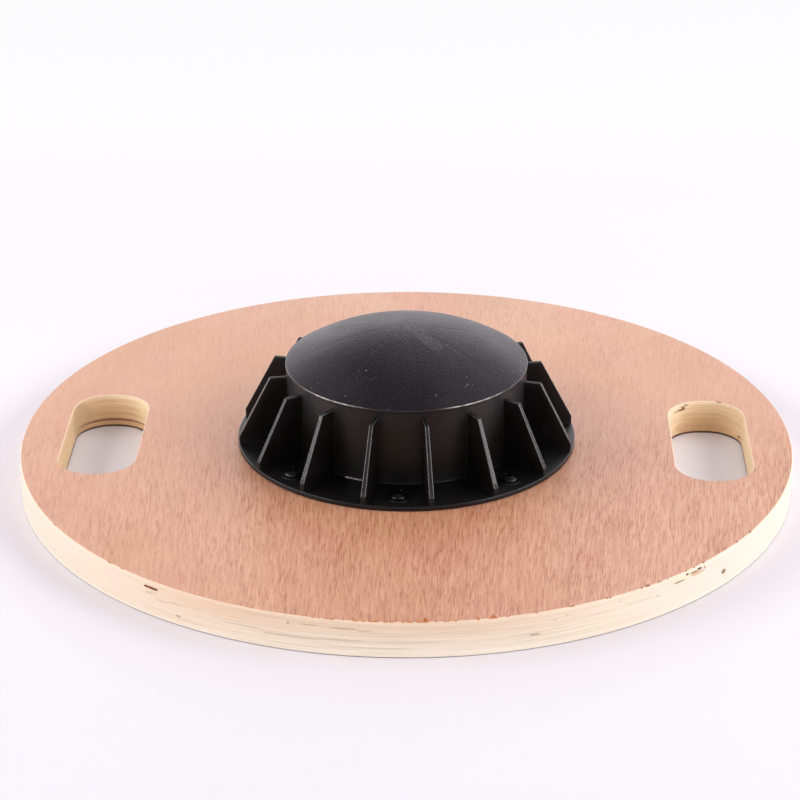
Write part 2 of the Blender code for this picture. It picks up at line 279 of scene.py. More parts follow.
# Cells of the film's net for each metre
NET_CELLS = 620.0

SETTINGS = {
    "wobble_board": BoardSizes,
    "wobble_base": BaseSizes,
    "wobble_screw": ScrewSizes,
    "wobble_finish": Finishes,
    "wobble_stage": StageSettings,
}


# Nodes

def set_inputs(node, inputs):
    """Links the inputs that are given a socket, and sets those that are given a value."""
    for name, value in inputs.items():
        if isinstance(value, bpy.types.NodeSocket):
            node.id_data.links.new(value, node.inputs[name])
        else:
            node.inputs[name].default_value = value


def put(tree, kind, inputs=None, **settings):
    """A new node: each input is a value to set or a socket to link from."""
    node = tree.nodes.new(kind)
    for name, value in settings.items():
        setattr(node, name, value)
    set_inputs(node, inputs or {})
    return node


def tree_of(values):
    """The node tree of the first socket among some values."""
    return next(value.id_data for value in values if isinstance(value, bpy.types.NodeSocket))


def calc(operation, *values):
    """The result of a Math node."""
    return put(tree_of(values), "ShaderNodeMath", dict(enumerate(values)), operation=operation).outputs[0]


def times(value, *factors):
    """The product of two or more values."""
    for factor in factors:
        value = calc("MULTIPLY", value, factor)
    return value


def vector_calc(operation, *values):
    """The result of a Vector Math node, a number for LENGTH and a vector otherwise."""
    node = put(tree_of(values), "ShaderNodeVectorMath", dict(enumerate(values)), operation=operation)
    return node.outputs["Value" if operation == "LENGTH" else "Vector"]


def axes(vector):
    """The X, Y and Z of a vector."""
    return put(vector.id_data, "ShaderNodeSeparateXYZ", {0: vector}).outputs


def joined(*values):
    """The vector of an X, a Y and a Z."""
    return put(tree_of(values), "ShaderNodeCombineXYZ", dict(enumerate(values))).outputs[0]


def rgba(value):
    """A colour with full opacity, or a socket as it is."""
    return value if isinstance(value, bpy.types.NodeSocket) else (*value, 1.0)


def tint(share, first, second, mode="MIX"):
    """The first colour with a share of the second laid on it."""
    inputs = {0: share, 6: rgba(first), 7: rgba(second)}
    return put(share.id_data, "ShaderNodeMix", inputs, data_type="RGBA", blend_type=mode).outputs[2]


def fade(value, start, end, low=0.0, high=1.0):
    """A smooth step from low at start to high at end."""
    inputs = {"Value": value, "From Min": start, "From Max": end, "To Min": low, "To Max": high}
    return put(value.id_data, "ShaderNodeMapRange", inputs, interpolation_type="SMOOTHSTEP").outputs[0]


def local(place, centre, reach, turn=0.0):
    """A place as seen from a centre, turned about Z, with a reach along each axis counted as 1."""
    inputs = {"Vector": place, "Location": centre, "Rotation": (0.0, 0.0, turn), "Scale": reach}
    return put(place.id_data, "ShaderNodeMapping", inputs, vector_type="TEXTURE").outputs[0]


def noise(place, patch, detail=2.0, seed=0.0):
    """Noise from 0 to 1, with patches of about one size, or of a size along each of X, Y and Z."""
    patch = (patch,) * 3 if isinstance(patch, float) else patch
    moved = local(place, tuple(-seed * reach for reach in patch), patch)
    inputs = {"Vector": moved, "Scale": 1.0, "Detail": detail}
    return put(place.id_data, "ShaderNodeTexNoise", inputs).outputs["Fac"]


def spot(place, centre, reach, turn=0.0, ragged=0.0, seed=0.0):
    """1 in the middle of an ellipsoid, fading to 0 at its ragged edge."""
    solid = 0.65
    inside = local(place, centre, reach, turn)
    distance = vector_calc("LENGTH", inside)
    if ragged:
        wobble = calc("MULTIPLY_ADD", noise(inside, 0.5, 3.0, seed), 2.0 * ragged, -ragged)
        distance = calc("ADD", distance, wobble)
    return fade(distance, 1.0, solid)


def away_from_axis(place):
    """Distance from the Z axis."""
    return vector_calc("LENGTH", vector_calc("MULTIPLY", place, (1.0, 1.0, 0.0)))


def off_middle(place):
    """Distance to either side of the plane that cuts the board into left and right."""
    return calc("ABSOLUTE", axes(place)["X"])


def in_slot(place, radius):
    """1 on the slots' walls and 0 on the rim of a board of the given radius."""
    rim_depth, slot_depth = 2 * MM, 6 * MM
    return fade(away_from_axis(place), radius - rim_depth, radius - slot_depth)


def squared_facing(place):
    """Squares of the X, Y and Z of the way a face points, from the node that gives the place."""
    facing = place.node.outputs["Normal"]
    return axes(vector_calc("MULTIPLY", facing, facing))


def new_material(name):
    """A material with its shader and the place on the piece."""
    material = bpy.data.materials.new(name)
    material.use_nodes = True
    tree = material.node_tree
    return material, tree.nodes["Principled BSDF"], put(tree, "ShaderNodeTexCoord").outputs["Object"]


def dress(shader, base, roughness, height=None, relief=0.0, shine=0.5):
    """Sets a shader's colour, roughness and shine, and its relief in metres from a height of 0 to 1."""
    inputs = {"Base Color": rgba(base), "Roughness": roughness, "Specular IOR Level": shine}
    if height is not None:
        bump = {"Strength": 1.0, "Distance": relief, "Height": height}
        inputs["Normal"] = put(shader.id_data, "ShaderNodeBump", bump).outputs[0]
    set_inputs(shader, inputs)


# Finishes

def veneer_finish(colours, sizes):
    """Sanded reddish veneer: soft patches of tone, fine fibres and short dark pores, with a painted sheen
    behind the dome that pales it and fades its grain.
    """
    material, shader, place = new_material("red_veneer_face")
    x, y, _ = axes(place)
    lean = fade(x, -0.13, 0.13, -0.085, 0.085)
    lean = calc("MULTIPLY_ADD", lean, sizes.grain_fan, sizes.grain_lean)
    grain = joined(calc("SUBTRACT", x, times(y, lean)), y)
    patches = noise(grain, (0.045, 0.09, 0.01), 3.0, seed=3.1)
    base = tint(fade(patches, 0.35, 0.65), colours.veneer_light, colours.veneer_dark)
    # Painted sheen: paler, bluer veneer behind the dome
    base = tint(fade(y, 0.10, 0.19), base, FAR_VENEER_PAINTED_SHEEN, "MULTIPLY")
    pink = noise(grain, (0.03, 0.05, 0.01), 2.0, seed=6.4)
    base = tint(fade(pink, 0.42, 0.66, 0.0, 0.6), base, colours.veneer_pink)
    ribbons = noise(grain, (0.0024, 0.09, 0.01), 3.0, seed=7.7)
    shade = fade(ribbons, 0.36, 0.66, 0.0, 0.14)
    fibres = noise(grain, (0.00075, 0.016, 0.01), 2.0, seed=1.3)
    shade = calc("ADD", shade, fade(fibres, 0.35, 0.62, 0.0, 0.44))
    density = noise(grain, (0.03, 0.05, 0.01), 2.0, seed=5.2)
    limit = fade(density, 0.3, 0.7, 0.60, 0.52)
    pores = noise(grain, (0.00062, 0.009, 0.01), 1.0, seed=2.6)
    open_pores = fade(calc("SUBTRACT", pores, limit), 0.0, 0.10)
    shade = calc("MULTIPLY_ADD", open_pores, 0.7, shade)
    # Painted sheen: the grain's darkening and relief fade towards the back, where haze hides them, and
    # weaken on the left
    grain_shown = times(fade(y, 0.05, -0.06, 0.4, 1.0), fade(x, -0.16, -0.02, 0.6, 1.0))
    base = tint(times(shade, grain_shown), base, colours.veneer_pores, "MULTIPLY")
    height = calc("MULTIPLY_ADD", open_pores, -0.8, times(fibres, 0.5))
    dress(shader, base, 0.40, times(height, grain_shown), relief=0.00004, shine=0.6)
    return material


def edge_finish(colours):
    """The veneer's sanded edge, paler than its face."""
    material, shader, place = new_material("red_veneer_edge")
    patches = noise(place, (0.006, 0.006, 0.0004), 3.0, seed=3.1)
    base = tint(fade(patches, 0.4, 0.7, 0.0, 0.25), colours.veneer_edge, colours.veneer_light)
    dress(shader, base, 0.6, patches, relief=0.00003)
    return material


def back_finish(colours, radius):
    """The back veneer's edge: sanded pale on the rim, and in the slots dark at its foot, partly glue and
    partly painted shadow where the board meets the floor.
    """
    material, shader, place = new_material("red_veneer_back")
    patches = noise(place, (0.02, 0.02, 0.0006), 3.0, seed=3.1)
    rim = tint(fade(patches, 0.4, 0.7, 0.0, 0.3), colours.birch_long, colours.birch_end)
    depth = calc("MULTIPLY_ADD", patches, 0.5 * MM, axes(place)["Z"])
    # Painted shadow, partly glue: the foot of the slots' walls made dark
    wall = tint(fade(depth, 1.5 * MM, 1.1 * MM), colours.tan, colours.slot_glue_and_shadow)
    base = tint(in_slot(place, radius), rim, wall)
    dress(shader, base, 0.6, patches, relief=0.00003)
    return material


def torn_finish(colours):
    """Loose fibres where the veneer has chipped at an edge, darker on the right."""
    material, shader, place = new_material("red_veneer_torn")
    fibres = noise(place, (0.0004, 0.0025, 0.0004), 3.0, seed=4.0)
    base = tint(fibres, colours.veneer_torn, colours.torn_fibre)
    old = times(fade(axes(place)["X"], 0.05, 0.10), fade(fibres, 0.7, 0.4, 0.4, 1.0))
    base = tint(old, base, colours.veneer_splinter)
    dress(shader, base, 0.85, fibres, relief=0.0003)
    return material


# Marks in the birch round the rim: angle in degrees, height, length and thickness in millimetres,
# how strongly each shows, and its tone
RIM_MARKS = (
    (-125.9, 12.0, 5.5, 0.9, 0.5, "grey"),
    (-125.0, 12.9, 7.0, 0.5, 0.4, "grey"),
    (-123.4, 9.9, 12.0, 0.9, 0.45, "grey"),
    (-121.2, 10.9, 9.0, 0.7, 0.40, "grey"),
    (-120.8, 4.9, 3.4, 1.6, 0.70, "grey"),
    (-104.3, 14.3, 2.0, 1.8, 0.55, "grey"),
    (-101.5, 14.6, 12.0, 0.9, 0.50, "grey"),
    (-97.0, 14.2, 16.0, 1.3, 0.50, "grey"),
    (-94.0, 13.4, 9.0, 0.9, 0.40, "grey"),
    (-111.0, 8.9, 26.0, 0.9, 0.35, "grey"),
    (-104.0, 7.4, 34.0, 1.1, 0.45, "grey"),
    (-97.0, 8.3, 30.0, 1.0, 0.40, "grey"),
    (-88.0, 8.0, 44.0, 0.9, 0.35, "grey"),
    (-92.0, 4.8, 40.0, 0.8, 0.25, "grey"),
    (-71.3, 7.4, 6.0, 1.2, 0.55, "brown"),
    (-68.5, 13.3, 2.4, 0.9, 0.5, "grey"),
    (-66.8, 14.7, 2.0, 0.8, 0.5, "grey"),
    (-58.6, 14.8, 2.0, 0.8, 0.5, "grey"),
    (-55.5, 12.1, 22.0, 0.6, 0.35, "grey"),
    (-52.3, 11.5, 2.8, 1.1, 0.5, "grey"),
    (-47.6, 15.9, 15.0, 3.6, 0.6, "cream"),
    (-44.9, 14.9, 12.5, 2.1, 0.8, "tan"),
    (-48.4, 14.5, 9.0, 1.0, 0.9, "olive"),
    (-45.5, 16.2, 7.0, 1.1, 1.0, "olive"),
    (-43.3, 15.8, 1.8, 1.1, 0.9, "tan"),
    (-38.9, 7.7, 4.4, 3.0, 0.95, "olive"),
)

# Marks on the slots' walls: X, Y and height of the middle in millimetres, the turn of the wall in
# degrees, length and thickness, how strongly each shows, and its tone
SLOT_MARKS = (
    (-160.0, 44.0, 2.6, 0, 54.0, 2.4, 0.6, "tan"),
    (-160.0, 44.0, 4.1, 0, 52.0, 1.7, 0.8, "brown"),
    (-156.0, 44.0, 7.6, 0, 34.0, 2.2, 0.50, "tan"),
    (-154.0, 44.0, 11.2, 6, 26.0, 1.8, 0.45, "tan"),
    # Painted shade, not a stain: the darker outer end of the left slot
    (-178.0, 36.0, 9.0, 60, 30.0, 22.0, 0.45, "grey"),
    (-160.0, 48.0, 14.9, 0, 4.0, 1.0, 0.6, "tan"),
    (-164.8, 47.4, 15.2, 10, 5.0, 0.8, 0.5, "tan"),
    (156.0, 46.0, 4.0, 0, 36.0, 8.0, 0.55, "tan"),
    (143.4, 42.4, 14.9, 50, 6.0, 1.2, 0.6, "brown"),
    (146.0, 44.8, 15.5, 38, 5.6, 3.0, 0.9, "brown"),
    (145.2, 44.4, 16.0, 38, 3.2, 1.4, 0.9, "sawn_long"),
    (146.8, 45.2, 15.0, 38, 2.0, 1.0, 1.0, "brown"),
    (148.4, 46.2, 17.0, 32, 3.4, 1.0, 0.8, "brown"),
    (176.6, 36.1, 3.4, 110, 4.6, 1.4, 0.9, "brown"),
    (177.4, 31.0, 4.3, 96, 3.0, 1.2, 0.8, "brown"),
)


def rim_place(radius, degrees, height):
    """The point of the rim at an angle in degrees and a height."""
    turn = math.radians(degrees)
    return Vector((radius * math.cos(turn), radius * math.sin(turn), height))


def birch_marks(radius):
    """Every mark as its middle, turn, reach, strength and tone."""
    marks = []
    for degrees, height, long, thick, strength, tone in RIM_MARKS:
        reach = (long * MM / 2, 3 * MM, thick * MM / 2)
        middle = rim_place(radius, degrees, height * MM)
        marks.append((middle, math.radians(degrees + 90), reach, strength, tone))
    for x, y, z, degrees, long, thick, strength, tone in SLOT_MARKS:
        reach = (long * MM / 2, max(12.0, long / 2) * MM, thick * MM / 2)
        marks.append((Vector((x, y, z)) * MM, math.radians(degrees), reach, strength, tone))
    return marks


def birch_rim(colours, place, square, across, patches):
    """Birch round the rim: warmer towards the face, with a painted highlight that washes the two sides
    pale, and painted light on its low front and back.
    """
    reach, _, depth = axes(place)
    warm = calc("MULTIPLY_ADD", noise(place, (0.09, 0.09, 0.012), 2.0, seed=4.0), 0.012, depth)
    warm = times(
        fade(warm, 0.010, 0.0225, 0.0, 0.85),
        fade(reach, 0.02, 0.12, 1.0, 0.45),
        fade(reach, -0.085, -0.15, 1.0, 0.15),
    )
    base = tint(warm, colours.birch_long, colours.birch_peach)
    base = tint(times(across, fade(patches, 0.3, 0.7, 0.05, 0.5)), base, colours.birch_end)
    # Painted highlight: the sides that face the side lamps washed pale and grey
    base = tint(fade(square["X"], 0.15, 0.75, 0.0, 0.75), base, colours.birch_side_highlight)
    base = tint(fade(reach, 0.0, -0.12), base, LEFT_RIM, "MULTIPLY")
    # Painted light on the rim's lowest few millimetres, on faces that turn front or back
    painted_low_light = times(fade(depth, 8 * MM, 3 * MM), fade(square["X"], 0.3, 0.05))
    return tint(painted_low_light, base, LOW_RIM_PAINTED_LIGHT, "MULTIPLY")


def birch_wall(colours, place, square, across, patches):
    """Birch on the slots' walls, with painted shade towards the foot and the board's far ends, and painted
    light near the right slot's inner end.
    """
    reach, _, depth = axes(place)
    base = tint(times(across, fade(patches, 0.35, 0.65, 0.02, 0.45)), colours.sawn_long, colours.sawn_end)
    # Painted shade: walls facing front or back darker towards their foot, and the slots' outer ends darker
    base = tint(times(square["Y"], fade(depth, 17 * MM, 8 * MM)), base, DEEP_WALL_PAINTED_SHADE, "MULTIPLY")
    base = tint(fade(reach, -0.150, -0.172), base, FAR_LEFT_WALL_PAINTED_SHADE, "MULTIPLY")
    base = tint(fade(reach, 0.150, 0.166), base, FAR_RIGHT_WALL_PAINTED_SHADE, "MULTIPLY")
    # Painted light on the inner end of the right slot
    near_painted_light = times(fade(reach, 0.153, 0.142), fade(reach, 0.0, 0.1))
    return tint(near_painted_light, base, NEAR_RIGHT_WALL_PAINTED_LIGHT, "MULTIPLY")


def birch_finish(colours, number, radius):
    """Sawn and sanded edge of one ply. Odd plies have their grain along X and even ones along Y."""
    node = PLIES[number - 1]
    low, high = frame_bottom(node), frame_top(node)
    material, shader, place = new_material(f"birch_edge_{number}")
    sawn = in_slot(place, radius)
    square = squared_facing(place)
    across = square["X" if number % 2 else "Y"]
    patches = noise(place, (0.05, 0.05, 0.0022), 3.0, seed=1.7 * number)
    rim, wall = (make(colours, place, square, across, patches) for make in (birch_rim, birch_wall))
    base = tint(sawn, rim, wall)
    streak = tint(sawn, colours.birch_streak, colours.tan)
    clear = times(fade(square["Y"], 0.4, 0.95, 0.1, 1.0), calc("MULTIPLY_ADD", sawn, 0.6, 1.0))
    lines = noise(place, (0.06, 0.06, 0.00035), 3.0, seed=2.3 * number)
    base = tint(times(fade(lines, 0.4, 0.7, 0.0, 0.26), clear), base, streak)
    streaks = noise(place, (0.03, 0.03, 0.0006), 4.0, seed=5.1 * number)
    base = tint(times(fade(streaks, 0.52, 0.70, 0.0, 0.42), clear), base, streak)
    fibres = noise(place, (0.004, 0.004, 0.00012), 2.0, seed=3.0)
    base = tint(fade(fibres, 0.3, 0.7, 0.0, 0.10), base, colours.birch_streak)
    glued = noise(place, 0.02, 3.0, seed=4.4 * number)
    seam = fade(axes(place)["Z"], high - 0.08 * MM, high)
    base = tint(times(seam, fade(glued, 0.35, 0.65, 0.05, 0.4)), base, colours.glue)
    for index, (middle, turn, reach, strength, tone) in enumerate(birch_marks(radius)):
        if low - reach[2] < middle.z < high + reach[2]:
            flaw = spot(place, middle, reach, turn, ragged=0.35, seed=index)
            base = tint(times(flaw, strength), base, getattr(colours, tone))
    height = calc("ADD", fibres, times(streaks, 0.8))
    dress(shader, base, 0.62, height, relief=0.00005)
    return material


def void_finish(colours):
    """Rough dark wood inside a gap or a loose knot."""
    material, shader, place = new_material("birch_void")
    fibres = noise(place, (0.0008, 0.0008, 0.0003), 3.0, seed=2.0)
    base = tint(fade(fibres, 0.42, 0.58), colours.void, colours.void_light)
    dress(shader, base, 0.9, fibres, relief=0.0002)
    return material


def grip_finish(colours, radius):
    """Dark phenolic film with the fine raised net of a non-slip face."""
    material, shader, place = new_material("grip_film_face")
    net = {"Vector": place, "Scale": NET_CELLS}
    cells = put(material.node_tree, "ShaderNodeTexVoronoi", net)
    pebbles = fade(cells.outputs["Distance"], 0.1, 0.6, 1.0, 0.0)
    cloud = noise(place, 0.03, 3.0, seed=1.0)
    base = tint(fade(cloud, 0.3, 0.7, 0.0, 0.4), colours.grip, colours.grip_cloud)
    away = away_from_axis(place)
    sanded = times(fade(away, radius - 0.5 * MM, radius - 0.1 * MM), 0.8)
    base = tint(sanded, base, colours.grip_edge)
    upright = times(fade(squared_facing(place)["Z"], 0.7, 0.1), in_slot(place, radius))
    base = tint(upright, base, colours.grip_wall)
    dress(shader, base, fade(pebbles, 0.0, 1.0, 0.62, 0.42), pebbles, relief=0.00022)
    return material


def satin_finish(colours, name, shine, rubbed):
    """Moulded plastic of the flange, the ribs' sides and the wall, with faint scuffs, and a painted sheen
    on the upper wall's left and right flanks, whose strength rubbed sets.
    """
    material, shader, place = new_material(name)
    flow = noise(place, 0.012, 3.0, seed=6.0)
    base = tint(fade(flow, 0.5, 0.8, 0.0, 0.04), colours.plastic, colours.scuff_and_sheen)
    # Painted sheen: the upper wall paler towards the left and right
    flank_sheen = fade(off_middle(place), 0.012, 0.045, 0.0, rubbed)
    flank_sheen = times(flank_sheen, fade(axes(place)["Z"], 0.035, 0.058))
    base = tint(flank_sheen, base, colours.scuff_and_sheen)
    peel = noise(place, 0.0012, 2.0, seed=1.0)
    dress(shader, base, fade(flow, 0.3, 0.7, 0.34, 0.42), peel, relief=0.000008, shine=shine)
    return material


def wall_finish(colours):
    """The plastic that the shell, the webs and the pads share."""
    name = "black_plastic_satin"
    return bpy.data.materials.get(name) or satin_finish(colours, name, shine=0.30, rubbed=0.22)


def polished_finish(colours):
    """Plastic on the narrow outer faces of shell and ribs, where the mould was smooth, with a painted
    highlight that grows towards the left and right.
    """
    name = "black_plastic_polished"
    if name in bpy.data.materials:
        return bpy.data.materials[name]
    material, shader, place = new_material(name)
    rubbed = noise(place, 0.0012, 3.0, seed=2.0)
    side = off_middle(place)
    # Painted highlight: more pale plastic on the faces towards the left and right
    share = times(fade(side, 0.02, 0.045, 0.1, 0.75), fade(rubbed, 0.3, 0.7))
    base = tint(share, colours.plastic, colours.scuff_and_sheen)
    dress(shader, base, fade(rubbed, 0.3, 0.7, 0.17, 0.24), rubbed, relief=0.00001, shine=0.34)
    return material


def worn_finish(colours):
    """Plastic worn pale along the ribs' sharp edges, more in some places than in others."""
    material, shader, place = new_material("black_plastic_worn")
    rubbed = noise(place, 0.0015, 3.0, seed=9.0)
    base = tint(fade(rubbed, 0.35, 0.6, 0.02, 0.20), colours.scuff_and_sheen, colours.worn)
    dress(shader, base, 0.4, rubbed, relief=0.00003)
    return material


def rim_glint_finish(colours):
    """Painted highlight round the dome's rim: pale plastic on its left and right front, least of all in the
    middle of its front.
    """
    material, shader, place = new_material("black_plastic_rim_glint")
    side = off_middle(place)
    # Painted highlight: the rim's glint on its left and right front, in the worn colour
    shown = times(fade(side, 0.015, 0.029), fade(side, 0.053, 0.042, 0.1, 1.0))
    rubbed = noise(place, 0.004, 4.0, seed=9.0)
    share = times(shown, fade(rubbed, 0.38, 0.62, 0.35, 1.0))
    base = tint(share, colours.plastic, colours.worn)
    dress(shader, base, 0.3, rubbed, relief=0.00002)
    return material


def textured_finish(colours, apex):
    """Finely textured plastic of the dome, lightly scuffed beside its apex."""
    material, shader, place = new_material("black_plastic_textured")
    grain = noise(place, 0.0013, 3.0, seed=3.0)
    coarse = noise(place, 0.0022, 2.0, seed=5.0)
    wear = noise(place, 0.03, 4.0, seed=8.0)
    base = tint(fade(wear, 0.45, 0.75, 0.0, 0.08), colours.dome, colours.scuff_and_sheen)
    base = tint(fade(grain, 0.46, 0.74, 0.0, 0.12), base, colours.scuff_and_sheen)
    beside, behind = (apex + Vector(shift) for shift in ((0.009, -0.010, 0.0), (-0.002, 0.004, 0.0)))
    rubbed = spot(place, beside, (0.019, 0.0045, 0.01), math.radians(-53), ragged=0.9)
    haze = spot(place, behind, (0.016, 0.018, 0.01), ragged=0.5, seed=3.0)
    rubbed = calc("MAXIMUM", rubbed, times(haze, 0.5))
    rubbed = times(rubbed, fade(grain, 0.38, 0.66, 0.04, 0.28))
    base = tint(rubbed, base, colours.dome_rub)
    specks = fade(noise(place, 0.0013, 1.0, seed=2.0), 0.77, 0.81)
    base = tint(times(specks, 0.8), base, colours.dome_speck)
    height = calc("MULTIPLY_ADD", coarse, 0.3, grain)
    dress(shader, base, fade(wear, 0.3, 0.7, 0.38, 0.46), height, relief=0.00019, shine=0.24)
    shader.inputs["Specular Tint"].default_value = DOME_SHINE
    return material


def steel_finish(colours):
    """Blackened steel, worn a little brighter in patches."""
    material, shader, place = new_material("black_steel_screw")
    wear = noise(place, 0.0012, 3.0, seed=5.0)
    base = tint(fade(wear, 0.55, 0.8, 0.0, 0.35), colours.steel, colours.steel_worn)
    dress(shader, base, fade(wear, 0.3, 0.7, 0.26, 0.40), wear, relief=0.00003)
    shader.inputs["Metallic"].default_value = 1.0
    return material


def floor_finish(settings):
    """Pale floor that shows as white to the eye, with painted shade towards the front, and keeps the
    shadows that fall on it.
    """
    material, shader, place = new_material("studio_floor")
    tree = material.node_tree
    reach = axes(place)["Y"]
    # Painted shade: the floor darker towards the front
    base = tint(fade(reach, 0.15, -0.35), settings.floor, NEAR_FLOOR_PAINTED_SHADE, "MULTIPLY")
    dress(shader, base, 0.9, shine=0.0)
    path = put(tree, "ShaderNodeLightPath")
    seen = calc("MAXIMUM", path.outputs["Is Camera Ray"], path.outputs["Is Glossy Ray"])
    seen = calc("MAXIMUM", seen, path.outputs["Is Transmission Ray"])
    glow = put(tree, "ShaderNodeEmission", {"Color": WHITE, "Strength": 1.0})
    share = times(seen, fade(reach, 0.2, 0.6, settings.floor_glow, settings.far_glow))
    shown = put(tree, "ShaderNodeMixShader", {0: share, 1: shader.outputs[0], 2: glow.outputs[0]})
    under = put(tree, "ShaderNodeNewGeometry").outputs["Backfacing"]
    clear = put(tree, "ShaderNodeBsdfTransparent")
    both = put(tree, "ShaderNodeMixShader", {0: under, 1: shown.outputs[0], 2: clear.outputs[0]})
    tree.links.new(both.outputs[0], tree.nodes["Material Output"].inputs["Surface"])
    return material


# Meshes

AXIS = (0.0, 0.0)
SHARP_ANGLE = math.radians(32)
ROUND_STEPS = 48

# Least upward share of the normal of a face that is level
LEVEL = 0.999


def smooth(mesh):
    """Shades a mesh smooth, but for its sharp edges."""
    mesh.shade_smooth()
    mesh.set_sharp_from_angle(angle=SHARP_ANGLE)


def mesh_from(name, shape):
    """A mesh from a bmesh, its faces pointing out and its curved faces shaded smooth."""
    bmesh.ops.recalc_face_normals(shape, faces=shape.faces)
    mesh = bpy.data.meshes.new(name)
    shape.to_mesh(mesh)
    shape.free()
    smooth(mesh)
    return mesh


def add_materials(item, *materials):
    """Adds materials to those of a piece, and says where in its list they come."""
    first = len(item.data.materials)
    for material in materials:
        item.data.materials.append(material)
    return range(first, first + len(materials))


def add_object(name, data):
    """A new object in the scene."""
    item = bpy.data.objects.new(name, data)
    bpy.context.scene.collection.objects.link(item)
    return item


def add_piece(name, mesh, *materials):
    """An object in the scene with its materials in order."""
    item = add_object(name, mesh)
    add_materials(item, *materials)
    return item


def bake(item):
    """Turns an object with modifiers into its plain mesh."""
    evaluated = item.evaluated_get(bpy.context.evaluated_depsgraph_get())
    mesh = bpy.data.meshes.new_from_object(evaluated)
    item.modifiers.clear()
    item.data = mesh


def settle(item, slot, *nodes):
    """Puts a finished piece on the frame in place of its CAD nodes."""
    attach(item, "root")
    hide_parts(*nodes)


def remove(*items):
    """Takes objects out of the file."""
    for item in items:
        bpy.data.objects.remove(item, do_unlink=True)


def arc(centre, radius, start, end, steps):
    """Points along a circular arc, ends included, for angles in radians."""
    angles = [start + (end - start) * i / steps for i in range(steps + 1)]
    return [(centre[0] + radius * math.cos(a), centre[1] + radius * math.sin(a)) for a in angles]


def circle(radius, steps, centre=AXIS):
    """Points round a circle."""
    return arc(centre, radius, 0.0, math.tau, steps)[:-1]


def level_loop(shape, points, height):
    """Vertices on a level line of points."""
    return [shape.verts.new((x, y, height)) for x, y in points]


def join_loops(shape, lower, upper):
    """A band of faces between two closed loops of as many points."""
    count = len(lower)
    following = [(i + 1) % count for i in range(count)]
    return [shape.faces.new((lower[i], lower[j], upper[j], upper[i])) for i, j in enumerate(following)]


def close_rows(name, shape, rows, top, bottom):
    """A solid through loops round the axis, from the top down, with a point on the axis at each end."""
    for upper, lower in zip(rows, rows[1:]):
        join_loops(shape, lower, upper)
    for row, height in ((rows[0], top), (rows[-1], bottom)):
        pole = shape.verts.new((*AXIS, height))
        for first, second in zip(row, row[1:] + row[:1]):
            shape.faces.new((first, second, pole))
    return mesh_from(name, shape)


def lofted(name, loops):
    """A closed solid through level loops of as many points, capped at both ends."""
    shape = bmesh.new()
    rows = [[shape.verts.new(point) for point in loop] for loop in loops]
    for lower, upper in zip(rows, rows[1:]):
        join_loops(shape, lower, upper)
    shape.faces.new(rows[0])
    shape.faces.new(rows[-1])
    return mesh_from(name, shape)


def turned(name, profile, steps):
    """A solid of revolution whose profile of (radius, height) starts and ends on the axis."""
    shape = bmesh.new()
    rows = [level_loop(shape, circle(radius, steps), height) for radius, height in profile[1:-1]]
    return close_rows(name, shape, rows, profile[0][1], profile[-1][1])


def brick(name, centre, reach, turn):
    """A blunt lump that cuts a gap: an ellipsoid pushed out towards its box."""
    squareness = 0.55
    shape = bmesh.new()
    bmesh.ops.create_uvsphere(shape, u_segments=16, v_segments=10, radius=1.0)
    for vertex in shape.verts:
        for axis in range(3):
            value = vertex.co[axis]
            vertex.co[axis] = math.copysign(abs(value) ** squareness, value) * reach[axis]
    matrix = Matrix.Translation(centre) @ Matrix.Rotation(turn, 4, "Z")
    bmesh.ops.transform(shape, matrix=matrix, verts=shape.verts)
    mesh = mesh_from(name, shape)
    for face in mesh.polygons:
        face.material_index = 1
    return mesh


def cut(item, cutters):
    """Takes every cutter out of a piece and bakes the result."""
    for cutter in cutters:
        boolean = item.modifiers.new("Cut", "BOOLEAN")
        boolean.operation = "DIFFERENCE"
        boolean.solver = "EXACT"
        boolean.object = cutter
    bake(item)
    remove(*cutters)
    smooth(item.data)


# Sheets of the board

RIM_STEPS = 900
SLOT_CORNER_STEPS = 28
SLOT_SIDE_STEPS = 54
PILOT_STEPS = 16

# Chips along the veneer's edge at the rim: angle in degrees, width and depth in millimetres
RIM_CHIPS = (
    (-148, 1.6, 1.2),
    (-133.5, 1.2, 1.4),
    (-131, 1.2, 1.4),
    (-98.5, 2.0, 1.6),
    (-95, 1.0, 1.2),
    (-92.5, 1.6, 2.2),
    (-88, 1.2, 2.0),
    (-87, 1.4, 2.4),
    (-86, 2.2, 5.4),
    (-83, 1.2, 1.2),
    (-79, 1.2, 2.4),
    (-77, 2.0, 4.6),
    (-75, 1.0, 1.6),
    (-71, 1.2, 1.4),
    (-66, 1.0, 1.2),
    (-60.5, 1.2, 1.4),
    (-55, 0.6, 1.6),
    (-54, 0.7, 2.0),
    (-52, 1.4, 0.7),
    (-50.5, 0.7, 0.6),
    (-47, 0.6, 1.2),
    (-45.5, 0.5, 0.8),
    (-43.5, 0.6, 1.6),
    (-35.5, 0.6, 1.4),
    (-31.5, 0.8, 1.6),
)

# Stretch of the rim where the veneer is frayed from end to end, in degrees
FRAYED = (-101.5, -80.4)

# Chips along a slot's edge: place in millimetres, then depth and reach
SLOT_CHIPS = (
    (142.3, -44.5, 2.6, 2.0),
    (153.9, -47.9, 0.7, 1.0),
    (176.6, -14.0, 0.6, 0.9),
    (176.9, 26.0, 0.7, 1.0),
    (166.0, 47.5, 0.6, 1.2),
    (-138.6, -31.0, 0.6, 1.0),
)


